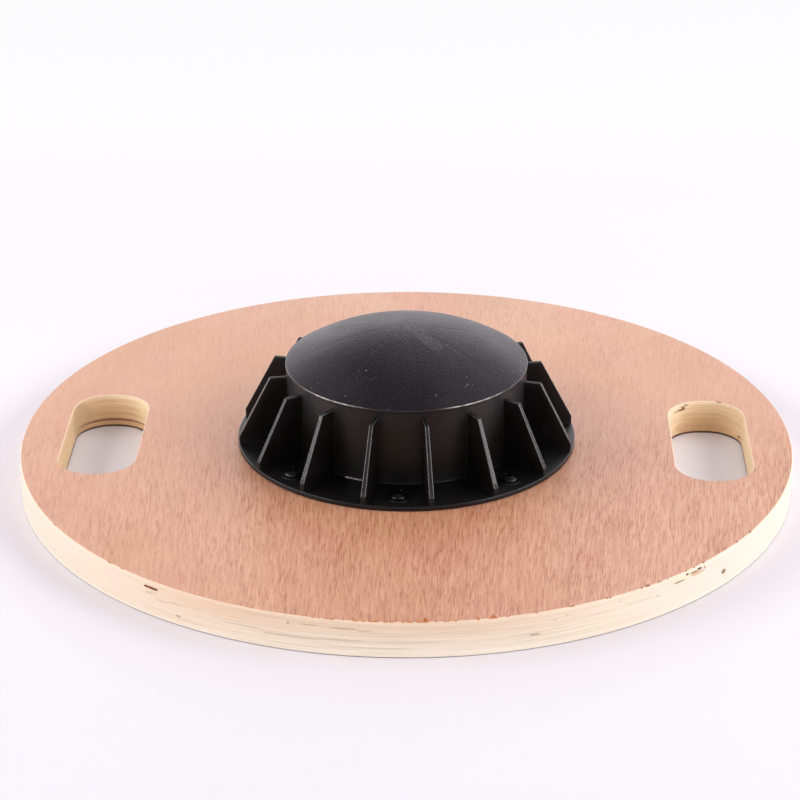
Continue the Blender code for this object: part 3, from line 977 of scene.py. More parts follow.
def chip_depths():
    """Angle, half width and depth of every splinter of every chip, in radians and metres."""
    splinter_mm, least_splinters, edge_loss = 0.4, 3, 0.8
    frayed_mm, frayed_fill = 0.5, 0.45
    dice = random.Random(11)
    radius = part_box("grip_facing")[1].x
    depths = []
    for degrees, width, depth in RIM_CHIPS:
        middle = math.radians(degrees)
        half = width * MM / radius / 2
        splinters = max(least_splinters, round(width / splinter_mm))
        for i in range(splinters):
            across = (i + 0.5) / splinters * 2 - 1
            share = (1 - edge_loss * across * across) * dice.uniform(0.45, 1.0)
            depths.append((middle + across * half, half / splinters, depth * MM * share))
    start, end = (math.radians(degrees) for degrees in FRAYED)
    splinter = frayed_mm * MM / radius
    for i in range(int((end - start) / splinter)):
        middle = start + i * splinter
        if all(abs(middle - other) > width + splinter for other, width, _ in depths):
            depths.append((middle, splinter * frayed_fill, max(0.0, dice.uniform(-0.7, 0.75)) * MM))
    return depths


def rim_outline(sizes, inset, chips=(), chip_share=0.0, ragged=0.0):
    """The board's edge, drawn in by an inset, and bitten where the veneer is chipped."""
    dice = random.Random(5)
    angles = [(math.tau * i / RIM_STEPS, 0.0) for i in range(RIM_STEPS)]
    for middle, half, depth in chips:
        turn, bottom = middle % math.tau, 0.9 * half
        angles += [(turn - bottom, depth), (turn + bottom, depth)]
    angles.sort()
    points = []
    for turn, depth in angles:
        radius = sizes.radius - inset - depth * chip_share - dice.uniform(0.0, ragged)
        points.append((radius * math.cos(turn), radius * math.sin(turn)))
    return points


def bitten(points, centre, chip_share):
    """A slot's edge with a share of the depth of its chips taken out."""
    edge = []
    for x, y in points:
        out = Vector((x - centre, y)).normalized()
        bite = 0.0
        for chip_x, chip_y, depth, reach in SLOT_CHIPS:
            away = math.hypot(x - chip_x * MM, y - chip_y * MM) / (reach * MM)
            bite = max(bite, depth * MM * (1 - away * away))
        edge.append((x + out.x * bite * chip_share, y + out.y * bite * chip_share))
    return edge


def slot_outline(sizes, side, growth, chip_share=0.0):
    """A hand slot's edge, grown on all sides: side is -1 for the left slot and 1 for the right."""
    corner = (sizes.slot_width - sizes.slot_flat) / 2
    reach_x = sizes.slot_flat / 2
    reach_y = sizes.slot_length / 2 - corner
    centre = side * sizes.slot_centre
    radius = corner + growth
    points = []
    for quarter, (side_x, side_y) in enumerate(((1, 1), (-1, 1), (-1, -1), (1, -1))):
        middle = (centre + side_x * reach_x, side_y * reach_y)
        start = quarter * math.pi / 2
        points += arc(middle, radius, start, start + math.pi / 2, SLOT_CORNER_STEPS)
        if side_x == side_y:
            continue
        x, y = points[-1]
        drop = side_y * 2 * reach_y
        points += [(x, y - drop * i / SLOT_SIDE_STEPS) for i in range(1, SLOT_SIDE_STEPS)]
    return bitten(points, centre, chip_share) if chip_share else points


def sheet_mesh(name, levels, finish_bands=None):
    """A closed sheet from levels of (height, outlines), where the first outline is its edge.

    finish_bands may set the materials of the walls: it is given each band's faces by outline.
    """
    shape = bmesh.new()
    rows = [[level_loop(shape, points, height) for points in outlines] for height, outlines in levels]
    bands = []
    for lower_row, upper_row in zip(rows, rows[1:]):
        bands.append([join_loops(shape, lower, upper) for lower, upper in zip(lower_row, upper_row)])
    if finish_bands:
        finish_bands(bands)
    for row in (rows[0], rows[-1]):
        loops = [[vertex.co / MM for vertex in loop] for loop in row]
        flat = [vertex for loop in row for vertex in loop]
        for corners in tessellate_polygon(loops):
            shape.faces.new([flat[i] for i in corners])
    mesh = mesh_from(name, shape)
    for face in mesh.polygons:
        face.use_smooth = abs(face.normal.z) < LEVEL
    return mesh


def plain_levels(sizes, places, pilots=()):
    """Levels of a sheet at places of (height, inset), its edge and slots drawn in alike."""
    levels = []
    for height, inset in places:
        slots = [slot_outline(sizes, side, inset) for side in (-1, 1)]
        levels.append((height, [rim_outline(sizes, inset), *slots, *pilots]))
    return levels


def sheet_above(node):
    """Height of the underside of the sheet that lies on a sheet."""
    names = ["grip_facing", "back_veneer", *PLIES, "face_veneer"]
    return frame_bottom(names[names.index(node) + 1])


def reaching_pilots(sizes, node):
    """Holes for the screws in a sheet that their points reach or nearly reach."""
    margin = 0.3 * MM
    if frame_bottom(SCREWS[0]) >= frame_top(node) + margin:
        return []
    return [circle(sizes.pilot_radius, PILOT_STEPS, frame_centre(screw)) for screw in SCREWS]


# Gaps in the birch: angle round the rim in degrees, height, length, thickness and depth in mm
RIM_GAPS = (
    (-125.4, 15.0, 8.6, 1.3, 0.9),
    (-46.9, 16.7, 1.9, 1.0, 1.2),
    (-44.4, 16.7, 2.8, 1.1, 1.5),
    (-43.4, 16.7, 0.9, 0.5, 0.5),
    (-43.3, 15.6, 1.1, 0.5, 0.5),
)


# How unevenly the plies stand out at the edge, in millimetres
PLY_STEP = 0.05


def ply(context, number, void):
    """One birch ply, reaching up to the next sheet, with its gaps cut out."""
    sizes = context.scene.wobble_board
    colours = context.scene.wobble_finish
    node = PLIES[number - 1]
    bottom, top = frame_bottom(node), sheet_above(node)
    step = random.Random(number).uniform(0.0, PLY_STEP) * MM
    places = [(bottom, step), (top, step)]
    if number == len(PLIES):
        shoulder = top - (sizes.ease_depth - (frame_top("face_veneer") - top))
        run, dip = 0.25 * MM, 0.04 * MM
        places = [(bottom, 0.0), (shoulder - run, 0.0), (shoulder, dip), (top, sizes.edge_ease * 0.5)]
    levels = plain_levels(sizes, places, reaching_pilots(sizes, node))
    birch = birch_finish(colours, number, sizes.radius)
    item = add_piece(f"birch_ply_{number}", sheet_mesh(node, levels), birch, void)
    cutters = []
    for degrees, height, long, thick, deep in RIM_GAPS:
        if bottom < height * MM < top:
            centre = rim_place(sizes.radius, degrees, height * MM)
            reach = (long * MM / 2, deep * MM, thick * MM / 2)
            cutter = brick("Gap", centre, reach, math.radians(degrees + 90))
            cutters.append(add_piece("Gap", cutter))
    if cutters:
        cut(item, cutters)
    settle(item, "pale_ply" if number % 2 else "tan_ply", node)


class WOBBLE_OT_core_plies(bpy.types.Operator):
    """Make the birch plies of the core, with their streaks, knots and gaps"""

    bl_idname = "wobble_board.core_plies"
    bl_label = "Core plies"

    def execute(self, context):
        void = void_finish(context.scene.wobble_finish)
        for number in range(1, len(PLIES) + 1):
            ply(context, number, void)
        return {"FINISHED"}


# Places of the torn and the sanded finish among the veneer's materials, after the face's own
TORN, EDGE = 1, 2

# Width of the shelf inside a veneer's edge from which the edge counts as chipped
CHIP_SHELF = 0.12 * MM


def finish_veneer(bands):
    """Pale edge below, torn fibres where a chip bares a shelf, and the face's own finish above."""
    foot, shelf, lip = bands
    for foot_faces, shelf_faces, lip_faces in zip(foot, shelf, lip):
        for lower, middle, upper in zip(foot_faces, shelf_faces, lip_faces):
            chipped = middle.calc_area() > CHIP_SHELF * max(edge.calc_length() for edge in lower.edges)
            lower.material_index = EDGE
            middle.material_index = upper.material_index = TORN if chipped else EDGE


def chipped_levels(sizes):
    """Levels of the face veneer: its upper half is chipped, and its edge eased and a little ragged."""
    bottom, top = frame_bottom("face_veneer"), frame_top("face_veneer")
    pilots = reaching_pilots(sizes, "face_veneer")
    middle = (bottom + top) / 2
    ease = sizes.edge_ease
    chips = chip_depths()
    levels = []
    for height, inset, chip_share, ragged in (
        (bottom, 0.5 * ease, 0.0, 0.0),
        (middle - 0.02 * MM, 0.74 * ease, 0.0, 0.03 * MM),
        (middle, 0.76 * ease, 0.9, 0.03 * MM),
        (top, ease, 1.0, 0.07 * MM),
    ):
        rim = rim_outline(sizes, inset, chips, chip_share, ragged)
        slots = [slot_outline(sizes, side, inset, chip_share) for side in (-1, 1)]
        levels.append((height, [rim, *slots, *pilots]))
    return levels


class WOBBLE_OT_veneers(bpy.types.Operator):
    """Make the face veneer with its chipped edge, and the plain veneer on the back"""

    bl_idname = "wobble_board.veneers"
    bl_label = "Veneers"

    def execute(self, context):
        sizes = context.scene.wobble_board
        colours = context.scene.wobble_finish
        mesh = sheet_mesh("veneer_face", chipped_levels(sizes), finish_veneer)
        finishes = (veneer_finish(colours, sizes), torn_finish(colours), edge_finish(colours))
        settle(add_piece("veneer_face", mesh, *finishes), "red_veneer", "face_veneer")
        places = ((sizes.film, 0.0), (sheet_above("back_veneer"), 0.0))
        mesh = sheet_mesh("veneer_back", plain_levels(sizes, places))
        back = add_piece("veneer_back", mesh, back_finish(colours, sizes.radius))
        settle(back, "red_veneer", "back_veneer")
        return {"FINISHED"}


class WOBBLE_OT_grip_film(bpy.types.Operator):
    """Make the dark film that the board stands on"""

    bl_idname = "wobble_board.grip_film"
    bl_label = "Grip film"

    def execute(self, context):
        sizes = context.scene.wobble_board
        ease = sizes.film_ease
        places = ((0.0, ease), (ease, 0.0), (sizes.film, 0.0))
        mesh = sheet_mesh("film_grip_face", plain_levels(sizes, places))
        film = add_piece("film_grip_face", mesh, grip_finish(context.scene.wobble_finish, sizes.radius))
        settle(film, "grip_film", "grip_facing")
        return {"FINISHED"}


# Geometry Nodes

def new_tree(name, **inputs):
    """A geometry tree that takes and gives a geometry, with its other inputs' names under their kind."""
    tree = bpy.data.node_groups.new(name, "GeometryNodeTree")
    tree.interface.new_socket("Geometry", in_out="OUTPUT", socket_type="NodeSocketGeometry")
    for kind, labels in {"Geometry": ("Geometry",), **inputs}.items():
        for label in labels:
            tree.interface.new_socket(label, in_out="INPUT", socket_type=f"NodeSocket{kind}")
    return tree, put(tree, "NodeGroupInput").outputs


def end_tree(tree, geometry, *dresses):
    """Realizes what a tree has made, and passes it out with each material on its chosen faces."""
    geometry = put(tree, "GeometryNodeRealizeInstances", {0: geometry}).outputs[0]
    for material, chosen in dresses:
        inputs = {"Geometry": geometry, "Selection": chosen, "Material": material}
        geometry = put(tree, "GeometryNodeSetMaterial", inputs).outputs[0]
    put(tree, "NodeGroupOutput", {0: geometry})


def ring_tree():
    """Copies of an object set round the Z axis, each turned to its own place."""
    numbers = ("Radius", "Height", "Turn", "Loose Turn")
    names = {"Object": ("Object",), "Material": ("Material",), "Int": ("Count", "Seed"), "Float": numbers}
    tree, given = new_tree("Ring of copies", **names)
    index = put(tree, "GeometryNodeInputIndex").outputs[0]
    step = calc("DIVIDE", math.tau, given["Count"])
    turn = calc("ADD", times(index, step), given["Turn"])
    across, along = (times(calc(wave, turn), given["Radius"]) for wave in ("COSINE", "SINE"))
    place = joined(across, along, given["Height"])
    points = put(tree, "GeometryNodePoints", {"Count": given["Count"], "Position": place})
    limits = {2: -1.0, 3: 1.0, 8: given["Seed"]}
    loose = put(tree, "FunctionNodeRandomValue", limits, data_type="FLOAT").outputs[1]
    spin = calc("MULTIPLY_ADD", loose, given["Loose Turn"], turn)
    copy = put(tree, "GeometryNodeObjectInfo", {"Object": given["Object"]}).outputs["Geometry"]
    inputs = {"Points": points.outputs[0], "Instance": copy, "Rotation": joined(0.0, 0.0, spin)}
    copies = put(tree, "GeometryNodeInstanceOnPoints", inputs).outputs[0]
    end_tree(tree, copies, (given["Material"], True))
    return tree


def sink_tree():
    """Faint grooves that run out over a dome, where webs inside it drew the plastic in."""
    numbers = ("Turn", "Depth", "Width", "Rim Radius", "Rim Height")
    names = {"Material": ("Material", "Dome Material"), "Int": ("Count",), "Float": numbers}
    tree, given = new_tree("Sink lines", **names)
    place = put(tree, "GeometryNodeInputPosition").outputs[0]
    x, y, z = axes(place)
    away = away_from_axis(place)
    turn = calc("SUBTRACT", calc("ARCTAN2", y, x), given["Turn"])
    step = calc("DIVIDE", math.tau, given["Count"])
    nearest = times(calc("ROUND", calc("DIVIDE", turn, step)), step)
    off_line = times(calc("SINE", calc("SUBTRACT", turn, nearest)), away)
    spread = calc("DIVIDE", off_line, given["Width"])
    groove = calc("EXPONENT", times(spread, spread, -1.0))
    share = calc("DIVIDE", away, given["Rim Radius"])
    above = calc("GREATER_THAN", z, given["Rim Height"])
    depth = times(groove, fade(share, 0.12, 0.4), fade(share, 0.97, 0.8), above, given["Depth"])
    drop = joined(0.0, 0.0, times(depth, -1.0))
    moved = put(tree, "GeometryNodeSetPosition", {"Geometry": given["Geometry"], "Offset": drop})
    end_tree(tree, moved.outputs[0], (given["Material"], True), (given["Dome Material"], above))
    return tree


def run_tree(item, tree, values):
    """Runs a tree on an object, with the tree's inputs set by name, and bakes the result."""
    modifier = item.modifiers.new(tree.name, "NODES")
    modifier.node_group = tree
    for socket in tree.interface.items_tree:
        if socket.in_out == "INPUT" and socket.name in values:
            modifier[socket.identifier] = values[socket.name]
    bake(item)


# Start of the random turns of copies that are set loosely
LOOSE_SEED = 4


def ring_of(name, mesh, material, count, turn, radius=0.0, height=0.0, loose_turn=0.0):
    """One piece of equal copies, set round the Z axis by Geometry Nodes."""
    tree = bpy.data.node_groups.get("Ring of copies") or ring_tree()
    pattern = add_piece(f"{name}_pattern", mesh)
    item = add_piece(name, bpy.data.meshes.new(name))
    values = {"Object": pattern, "Material": material, "Count": count, "Seed": LOOSE_SEED}
    values.update({"Radius": radius, "Height": height, "Turn": turn, "Loose Turn": loose_turn})
    run_tree(item, tree, values)
    remove(pattern)
    return item


def screw_ring(name, mesh, material, height, loose_turn=0.0):
    """One piece of equal copies, one of them at each screw."""
    centre = frame_centre(SCREWS[0])
    turn = math.atan2(centre.y, centre.x)
    return ring_of(name, mesh, material, len(SCREWS), turn, centre.xy.length, height, loose_turn)


# Moulded base

BASE_BOTTOM = frame_bottom("dome_base")
SHELL_STEPS = 384


def dome_sphere(sizes):
    """Radius of the dome's sphere, and the height of its centre."""
    rim = sizes.cup_radius + sizes.rim_lip
    radius = (rim**2 + sizes.dome_rise**2) / (2 * sizes.dome_rise)
    return radius, sizes.rim_height + sizes.dome_rise - radius


def dome_line(sizes, drop, reach, steps):
    """The dome's section from its axis out to a reach, sunk by a drop."""
    radius, centre = dome_sphere(sizes)
    end = math.pi / 2 - math.asin(reach / (radius - drop))
    return [(0.0, centre + radius - drop)] + arc((0.0, centre), radius - drop, math.pi / 2, end, steps)[1:]


def shell_profile(sizes):
    """Section of flange, wall and dome, down the outside and back up the inside."""
    radius, centre = dome_sphere(sizes)
    lip = sizes.cup_radius + sizes.rim_lip
    fillet = sizes.rim_fillet
    blend = math.asin((lip - fillet) / (radius - fillet))
    fillet_height = centre + (radius - fillet) * math.cos(blend)
    dome_steps, inside_steps, wall_steps, fillet_steps, edge_steps = 46, 24, 12, 5, 4
    outside = dome_line(sizes, 0.0, radius * math.sin(blend), dome_steps)
    outside += arc((lip - fillet, fillet_height), fillet, math.pi / 2 - blend, 0.0, fillet_steps)[1:]
    lip_foot = sizes.rim_height - sizes.rim_lip_depth
    outside += [(lip, lip_foot), (sizes.cup_radius, lip_foot - sizes.rim_lip)]
    foot = (sizes.cup_radius + sizes.foot_fillet, sizes.flange_thickness + sizes.foot_fillet)
    wall_top = outside[-1][1]
    for i in range(1, wall_steps):
        outside.append((sizes.cup_radius, wall_top + (foot[1] - wall_top) * i / wall_steps))
    outside += arc(foot, sizes.foot_fillet, math.pi, math.pi * 1.5, fillet_steps)
    edge = (sizes.flange_radius - sizes.flange_break, sizes.flange_thickness - sizes.flange_break)
    outside += arc(edge, sizes.flange_break, math.pi / 2, 0.0, edge_steps)
    outside += [(sizes.flange_radius, 0.0), (sizes.cup_radius - sizes.wall, 0.0)]
    inside = dome_line(sizes, sizes.wall, sizes.cup_radius - sizes.wall, inside_steps)
    return [(r, z + BASE_BOTTOM) for r, z in outside + inside[::-1]]


# Stretch of the wall's foot that gets a painted highlight, in degrees
FOOT_GLINT = (-118, -106)


def polish_edges(mesh, sizes, polished, rubbed):
    """Gives the flange's upper edge one material, and the dome's rim and a stretch of the wall's foot
    another, which paints a highlight on them.
    """
    rim_reach = sizes.cup_radius + sizes.rim_lip - 0.8 * sizes.rim_fillet
    rim_foot = sizes.rim_height - 0.5 * sizes.rim_fillet
    foot_reach = sizes.cup_radius + 0.5 * sizes.foot_fillet
    foot_top = sizes.flange_thickness + sizes.foot_fillet
    flange_reach = sizes.flange_radius - sizes.flange_break
    flange_foot = 0.6 * sizes.flange_thickness
    for face in mesh.polygons:
        reach, height = face.center.xy.length, face.center.z - BASE_BOTTOM
        turn = math.degrees(math.atan2(face.center.y, face.center.x))
        on_foot = sizes.cup_radius < reach < foot_reach and height < foot_top
        if reach > rim_reach and height > rim_foot or on_foot and FOOT_GLINT[0] < turn < FOOT_GLINT[1]:
            face.material_index = rubbed
        elif reach > flange_reach and height > flange_foot:
            face.material_index = polished


class WOBBLE_OT_shell(bpy.types.Operator):
    """Make the shell of the base: flange, wall and textured dome, with faint sink lines"""

    bl_idname = "wobble_board.shell"
    bl_label = "Base shell"

    def execute(self, context):
        sizes = context.scene.wobble_base
        colours = context.scene.wobble_finish
        apex = Vector((0.0, 0.0, frame_top("dome_base")))
        shell = add_piece("base_shell", turned("base_shell", shell_profile(sizes), SHELL_STEPS))
        values = {
            "Material": wall_finish(colours),
            "Dome Material": textured_finish(colours, apex),
            "Count": sizes.web_count,
            "Turn": sizes.rib_turn,
            "Depth": sizes.sink_depth,
            "Width": sizes.sink_width,
            "Rim Radius": sizes.cup_radius,
            "Rim Height": BASE_BOTTOM + sizes.rim_height,
        }
        run_tree(shell, sink_tree(), values)
        places = add_materials(shell, polished_finish(colours), rim_glint_finish(colours))
        polish_edges(shell.data, sizes, *places)
        hole = circle(context.scene.wobble_board.pilot_radius, PILOT_STEPS)
        reach = sizes.flange_thickness
        loops = [[(x, y, z) for x, y in hole] for z in (-reach, 2 * reach)]
        cut(shell, [screw_ring("Drills", lofted("Drill", loops), None, BASE_BOTTOM)])
        settle(shell, "black_plastic", "dome_base")
        return {"FINISHED"}


def fillet_flare(distance, radius):
    """How far a fillet stands out at a distance from the face that it runs up to."""
    if distance >= radius:
        return 0.0
    return radius - math.sqrt(radius**2 - (radius - max(distance, 0.0)) ** 2)


# Where rows of points lie on a fillet, as shares of its radius from the corner out
FILLET_SHARES = (0.0, 0.12, 0.3, 0.6, 1.0)


def rib_mesh(sizes):
    """A rib along +X, tapered in thickness, its free edges rounded and its roots filleted."""
    slope_steps, side_steps, round_steps = 12, 5, 4
    inside_wall = 0.2 * MM
    rounding, fillet = sizes.rib_rounding, sizes.rib_fillet
    foot_reach = sizes.flange_radius - sizes.rib_foot_setback
    top_reach = sizes.cup_radius + sizes.rib_top_length
    low, high = sizes.flange_thickness, sizes.rib_top_height
    rows = [(low / 2, 0.0)] + [(low + fillet * share, 0.0) for share in FILLET_SHARES]
    start, end = sizes.rib_foot_height, high - rounding
    rows += [(start + (end - start) * i / slope_steps, 0.0) for i in range(slope_steps)]
    for i in range(round_steps + 1):
        lift = math.pi / 2 * i / round_steps
        rows.append((end + rounding * math.sin(lift), rounding * (1 - math.cos(lift))))
    wall = sizes.cup_radius
    inner = [wall - inside_wall] + [wall + fillet * share for share in FILLET_SHARES]
    last = inner[-1]
    loops = []
    for height, shrink in rows:
        slope = max(0.0, (height - start) / (high - start))
        reach = foot_reach + (top_reach - foot_reach) * slope - shrink
        taper = (height - low) / (high - low)
        half = sizes.rib_foot_half + (sizes.rib_top_half - sizes.rib_foot_half) * taper - shrink
        foot_flare = fillet_flare(height - low, fillet)
        outer = [last + (reach - rounding - last) * i / side_steps for i in range(1, side_steps)]
        side = [(x, half + max(fillet_flare(x - wall, fillet), foot_flare)) for x in inner + outer]
        corner = min(rounding, half)
        middle = (reach - corner, half + foot_flare - corner)
        side += arc(middle, corner, math.pi / 2, 0.0, round_steps)
        loop = side + [(x, -y) for x, y in reversed(side)]
        loops.append([(x, y, height + BASE_BOTTOM) for x, y in loop])
    return lofted("Rib", loops)


def rub_ribs(mesh, sizes, polished, worn):
    """Gives the ribs' narrow outer faces one material and their sharp edges another."""
    upward, outward, square = 0.75, 0.25, 0.15
    step = math.tau / sizes.rib_count
    for face in mesh.polygons:
        centre = face.center
        turn = math.atan2(centre.y, centre.x) - sizes.rib_turn
        turn = round(turn / step) * step + sizes.rib_turn
        facing = Matrix.Rotation(-turn, 3, "Z") @ face.normal
        low = centre.z < BASE_BOTTOM + sizes.rib_foot_height
        inner = centre.xy.length < sizes.cup_radius + sizes.rib_fillet
        if low or inner or facing.z > upward or max(facing.x, facing.z) < outward:
            continue
        face.material_index = polished if abs(facing.y) < square else worn


class WOBBLE_OT_ribs(bpy.types.Operator):
    """Make the ribs round the wall of the base"""

    bl_idname = "wobble_board.ribs"
    bl_label = "Ribs"

    def execute(self, context):
        sizes = context.scene.wobble_base
        colours = context.scene.wobble_finish
        satin = satin_finish(colours, "black_plastic_side", shine=0.22, rubbed=0.0)
        ribs = ring_of("base_ribs", rib_mesh(sizes), satin, sizes.rib_count, sizes.rib_turn)
        places = add_materials(ribs, polished_finish(colours), worn_finish(colours))
        rub_ribs(ribs.data, sizes, *places)
        settle(ribs, "black_plastic", "dome_base")
        return {"FINISHED"}


def web_mesh(sizes):
    """A web along +X, flat below and sunk into the dome's wall above."""
    sink = sizes.wall / 2
    start, end = sizes.hub_radius / 2, sizes.cup_radius - sink
    half = sizes.web_thickness / 2
    steps = 16
    radius, centre = dome_sphere(sizes)
    section = [(end, sizes.web_bottom), (start, sizes.web_bottom)]
    for i in range(steps + 1):
        reach = start + (end - start) * i / steps
        section.append((reach, centre + math.sqrt((radius - sink) ** 2 - reach**2)))
    loops = [[(x, side * half, z + BASE_BOTTOM) for x, z in section] for side in (1, -1)]
    return lofted("Web", loops)


def hub_mesh(sizes):
    """The hub where the webs meet, sunk into the dome's wall."""
    top = sizes.rim_height + sizes.dome_rise - sizes.wall / 2 + BASE_BOTTOM
    bottom = sizes.web_bottom + BASE_BOTTOM
    ease = 0.3 * MM
    profile = [(0.0, top), (sizes.hub_radius, top), (sizes.hub_radius, bottom + ease)]
    profile += [(sizes.hub_radius - ease, bottom), (0.0, bottom)]
    return turned("base_hub", profile, ROUND_STEPS)


class WOBBLE_OT_webs(bpy.types.Operator):
    """Make the webs and the hub that stiffen the dome from inside"""

    bl_idname = "wobble_board.webs"
    bl_label = "Webs and hub"

    def execute(self, context):
        sizes = context.scene.wobble_base
        satin = wall_finish(context.scene.wobble_finish)
        webs = ring_of("base_webs", web_mesh(sizes), satin, sizes.web_count, sizes.rib_turn)
        settle(webs, "black_plastic", "dome_base")
        settle(add_piece("base_hub", hub_mesh(sizes), satin), "black_plastic", "dome_base")
        return {"FINISHED"}


def pad_mesh(sizes, hole):
    """A low round pad with a rounded edge and a screw's hole, from inside the flange up."""
    sunk_to, ease_steps = 0.7, 3
    low, high = sizes.flange_thickness * sunk_to, sizes.flange_thickness + sizes.pad_height
    ease = 0.2 * MM
    section = [(hole, low), (sizes.pad_radius, low)]
    section += arc((sizes.pad_radius - ease, high - ease), ease, 0.0, math.pi / 2, ease_steps)
    section += [(hole + ease, high), (hole, high - ease)]
    shape = bmesh.new()
    rows = [level_loop(shape, circle(radius, ROUND_STEPS), height) for radius, height in section]
    for lower, upper in zip(rows, rows[1:] + rows[:1]):
        join_loops(shape, lower, upper)
    return mesh_from("Pad", shape)


class WOBBLE_OT_pads(bpy.types.Operator):
    """Make the round pads that the screws' heads bear on"""

    bl_idname = "wobble_board.pads"
    bl_label = "Screw pads"

    def execute(self, context):
        sizes = context.scene.wobble_base
        satin = wall_finish(context.scene.wobble_finish)
        mesh = pad_mesh(sizes, context.scene.wobble_board.pilot_radius)
        settle(screw_ring("base_screw_pads", mesh, satin, BASE_BOTTOM), "black_plastic", "dome_base")
        return {"FINISHED"}


# Screws

def screw_mesh(sizes, shank):
    """A pan head screw with a turned head, a coarse thread and a tapered point."""
    steps, crown_steps, thread_steps = 40, 12, 10
    ease, collar, bare_point = 0.15 * MM, 0.4 * MM, 0.6 * MM
    steepness = 5
    core, pitch = sizes.core_radius, sizes.thread_pitch
    head, rise = sizes.head_radius, sizes.head_height - sizes.head_edge
    ball = (head**2 + rise**2) / (2 * rise)
    brim = math.pi / 2 - math.asin(head / ball)
    crown = arc((0.0, sizes.head_height - ball), ball, math.pi / 2, brim, crown_steps)
    rings = [(radius, height, 0.0) for radius, height in crown[1:-1]]
    rings += [(head, sizes.head_edge * 0.8, 0.0), (head, ease, 0.0), (head - ease, 0.0, 0.0)]
    rings += [(core + collar, 0.0, 0.0), (core, -collar, 0.0)]
    spacing = pitch / thread_steps
    for i in range(1, int((shank - bare_point) / spacing)):
        depth = collar + i * spacing
        taper = min(1.0, (shank - depth) / sizes.point_length)
        start = min(1.0, i / thread_steps)
        rings.append((core * taper, -depth, start * taper**0.5))
    shape = bmesh.new()
    rows = []
    for radius, height, thread in rings:
        points = []
        for i in range(steps):
            turn = math.tau * i / steps
            phase = (height / pitch - i / steps) % 1.0
            ridge = max(0.0, 1 - abs(phase - 0.5) * steepness) * sizes.thread_depth * thread
            reach = radius + ridge
            points.append((reach * math.cos(turn), reach * math.sin(turn)))
        rows.append(level_loop(shape, points, height))
    return close_rows("Screw", shape, rows, sizes.head_height, -shank)


def recess_cutter(sizes):
    """A cross that narrows as it goes down."""
    loops = []
    for height, shrink in ((-sizes.recess_depth, 0.55), (0.0, 0.9), (sizes.recess_depth, 1.3)):
        span, width = sizes.recess_span / 2 * shrink, sizes.recess_width / 2
        loop = []
        for quarter in range(4):
            turn = Matrix.Rotation(quarter * math.pi / 2, 2)
            for corner in ((span, -width), (span, width), (width, width)):
                loop.append((*(turn @ Vector(corner)), height + sizes.head_height))
        loops.append(loop)
    return lofted("Recess", loops)


class WOBBLE_OT_screws(bpy.types.Operator):
    """Make the pan head screws, each with its cross recess left at its own turn"""

    bl_idname = "wobble_board.screws"
    bl_label = "Screws"

    def execute(self, context):
        sizes = context.scene.wobble_screw
        low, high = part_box(SCREWS[0])
        seat = high.z - sizes.head_height
        screw = add_piece("Screw", screw_mesh(sizes, seat - low.z))
        cut(screw, [add_piece("Recess", recess_cutter(sizes))])
        steel = steel_finish(context.scene.wobble_finish)
        mesh = screw.data
        remove(screw)
        screws = screw_ring("pan_head_screws", mesh, steel, seat, loose_turn=math.pi / 4)
        settle(screws, "black_steel", *SCREWS)
        return {"FINISHED"}


# Stage

def soft_box(name, settings, target, turn, lift, width, power):
    """A soft box that shines at a target from a turn and a lift in degrees."""
    data = bpy.data.lights.new(name, "AREA")
    data.shape = "RECTANGLE"
    data.size, data.size_y = width, settings.box_height
    data.energy = power
    lamp = add_object(name, data)
    turn, lift = math.radians(turn), math.radians(lift)
    away = Vector((math.cos(turn) * math.cos(lift), math.sin(turn) * math.cos(lift), math.sin(lift)))
    lamp.location = target + away * settings.box_distance
    lamp.rotation_euler = (-away).to_track_quat("-Z", "Y").to_euler()
    lamp.visible_camera = False


def studio_sky(settings):
    """A soft sky, brighter near the horizon and behind the board, that shows as plain white."""
    world = bpy.data.worlds.new("Studio")
    world.use_nodes = True
    tree = world.node_tree
    tree.nodes.clear()
    _, back, up = axes(put(tree, "ShaderNodeTexCoord").outputs["Generated"])
    strength = fade(up, 0.05, 0.75, settings.sky_low, settings.sky_high)
    behind = times(fade(back, 0.2, 0.9), fade(up, 0.75, 0.2))
    strength = calc("MULTIPLY_ADD", behind, settings.sky_back, strength)
    sky = put(tree, "ShaderNodeBackground", {"Color": rgba(settings.sky), "Strength": strength})
    white = put(tree, "ShaderNodeBackground", {"Color": WHITE, "Strength": 1.0})
    seen = put(tree, "ShaderNodeLightPath").outputs["Is Camera Ray"]
    both = put(tree, "ShaderNodeMixShader", {0: seen, 1: sky.outputs[0], 2: white.outputs[0]})
    put(tree, "ShaderNodeOutputWorld", {"Surface": both.outputs[0]})
    return world


def place_camera(settings, target):
    """The camera's place and aim, worked out from its angles round the board."""
    data = bpy.data.cameras.new("Camera")
    data.lens = settings.lens_mm
    data.sensor_width = settings.sensor_mm
    camera = add_object("Camera", data)
    reach = settings.camera_distance
    lift = settings.camera_height
    away = Vector((0.0, -reach * math.cos(lift), reach * math.sin(lift)))
    camera.matrix_world = (
        Matrix.Translation(target)
        @ Matrix.Rotation(settings.camera_turn, 4, "Z")
        @ Matrix.Translation(away)
        @ Matrix.Rotation(math.pi / 2 - lift, 4, "X")
        @ Matrix.Rotation(settings.camera_yaw, 4, "Y")
        @ Matrix.Rotation(settings.camera_pitch, 4, "X")
    )
    return camera


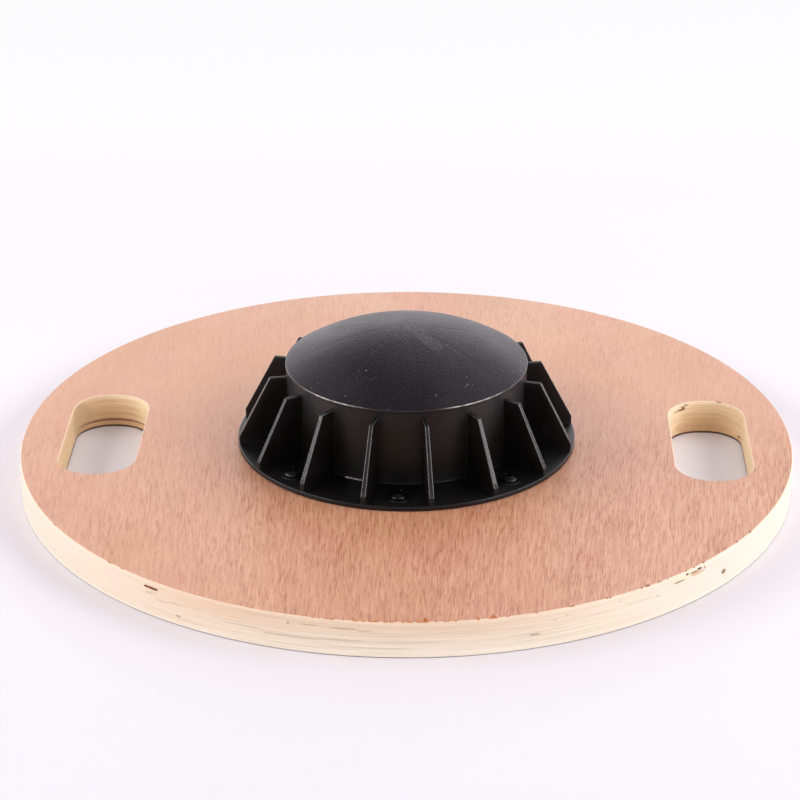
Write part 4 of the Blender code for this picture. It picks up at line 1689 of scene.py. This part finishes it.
class WOBBLE_OT_stage(bpy.types.Operator):
    """Set the camera, the pale floor, the soft boxes and the sky"""

    bl_idname = "wobble_board.stage"
    bl_label = "Stage"

    def execute(self, context):
        scene = context.scene
        settings = scene.wobble_stage
        target = Vector((0.0, 0.0, frame_top("face_veneer")))
        scene.camera = place_camera(settings, target)
        shape = bmesh.new()
        bmesh.ops.create_grid(shape, x_segments=1, y_segments=1, size=settings.floor_size / 2)
        bmesh.ops.translate(shape, vec=(0.0, 0.0, -settings.floor_gap), verts=shape.verts)
        mesh = bpy.data.meshes.new("Floor")
        shape.to_mesh(mesh)
        shape.free()
        floor = add_piece("Floor", mesh, floor_finish(settings))
        wide, narrow = settings.box_width, settings.strip_width
        for name, turn, lift, width, power in (
            ("Left_soft_box", -175.0, 31.0, wide, settings.left_power),
            ("Right_soft_box", -10.0, 31.0, wide, settings.right_power),
            ("Back_soft_box", 60.0, 50.0, wide, settings.back_power),
            ("Front_left_strip", -147.0, 34.0, narrow, settings.strip_power),
            ("Front_right_strip", -33.0, 34.0, narrow, settings.strip_power),
        ):
            soft_box(name, settings, target, turn, lift, width, power)
        scene.world = studio_sky(settings)
        scene.view_settings.view_transform = "Standard"
        return {"FINISHED"}


OPERATORS = (
    WOBBLE_OT_stage,
    WOBBLE_OT_grip_film,
    WOBBLE_OT_core_plies,
    WOBBLE_OT_veneers,
    WOBBLE_OT_shell,
    WOBBLE_OT_ribs,
    WOBBLE_OT_webs,
    WOBBLE_OT_pads,
    WOBBLE_OT_screws,
)


class VIEW3D_PT_wobble_board(bpy.types.Panel):
    """Lists the operators that dress the board, and its sizes and colours"""

    bl_label = "Wobble board"
    bl_space_type = "VIEW_3D"
    bl_region_type = "UI"
    bl_category = "Wobble board"

    def draw(self, context):
        for operator in OPERATORS:
            self.layout.operator(operator.bl_idname)
        for name, group in SETTINGS.items():
            box = self.layout.box()
            for field in group.__annotations__:
                box.prop(getattr(context.scene, name), field)


CLASSES = (*SETTINGS.values(), *OPERATORS, VIEW3D_PT_wobble_board)


def register():
    for item in CLASSES:
        bpy.utils.register_class(item)
    for name, group in SETTINGS.items():
        setattr(bpy.types.Scene, name, PointerProperty(type=group))


def unregister():
    for name in SETTINGS:
        delattr(bpy.types.Scene, name)
    for item in reversed(CLASSES):
        bpy.utils.unregister_class(item)


def main():
    register()
    bpy.ops.wobble_board.stage()
    bpy.ops.wobble_board.grip_film()
    bpy.ops.wobble_board.core_plies()
    bpy.ops.wobble_board.veneers()
    bpy.ops.wobble_board.shell()
    bpy.ops.wobble_board.ribs()
    bpy.ops.wobble_board.webs()
    bpy.ops.wobble_board.pads()
    bpy.ops.wobble_board.screws()


if __name__ == "__main__":
    main()
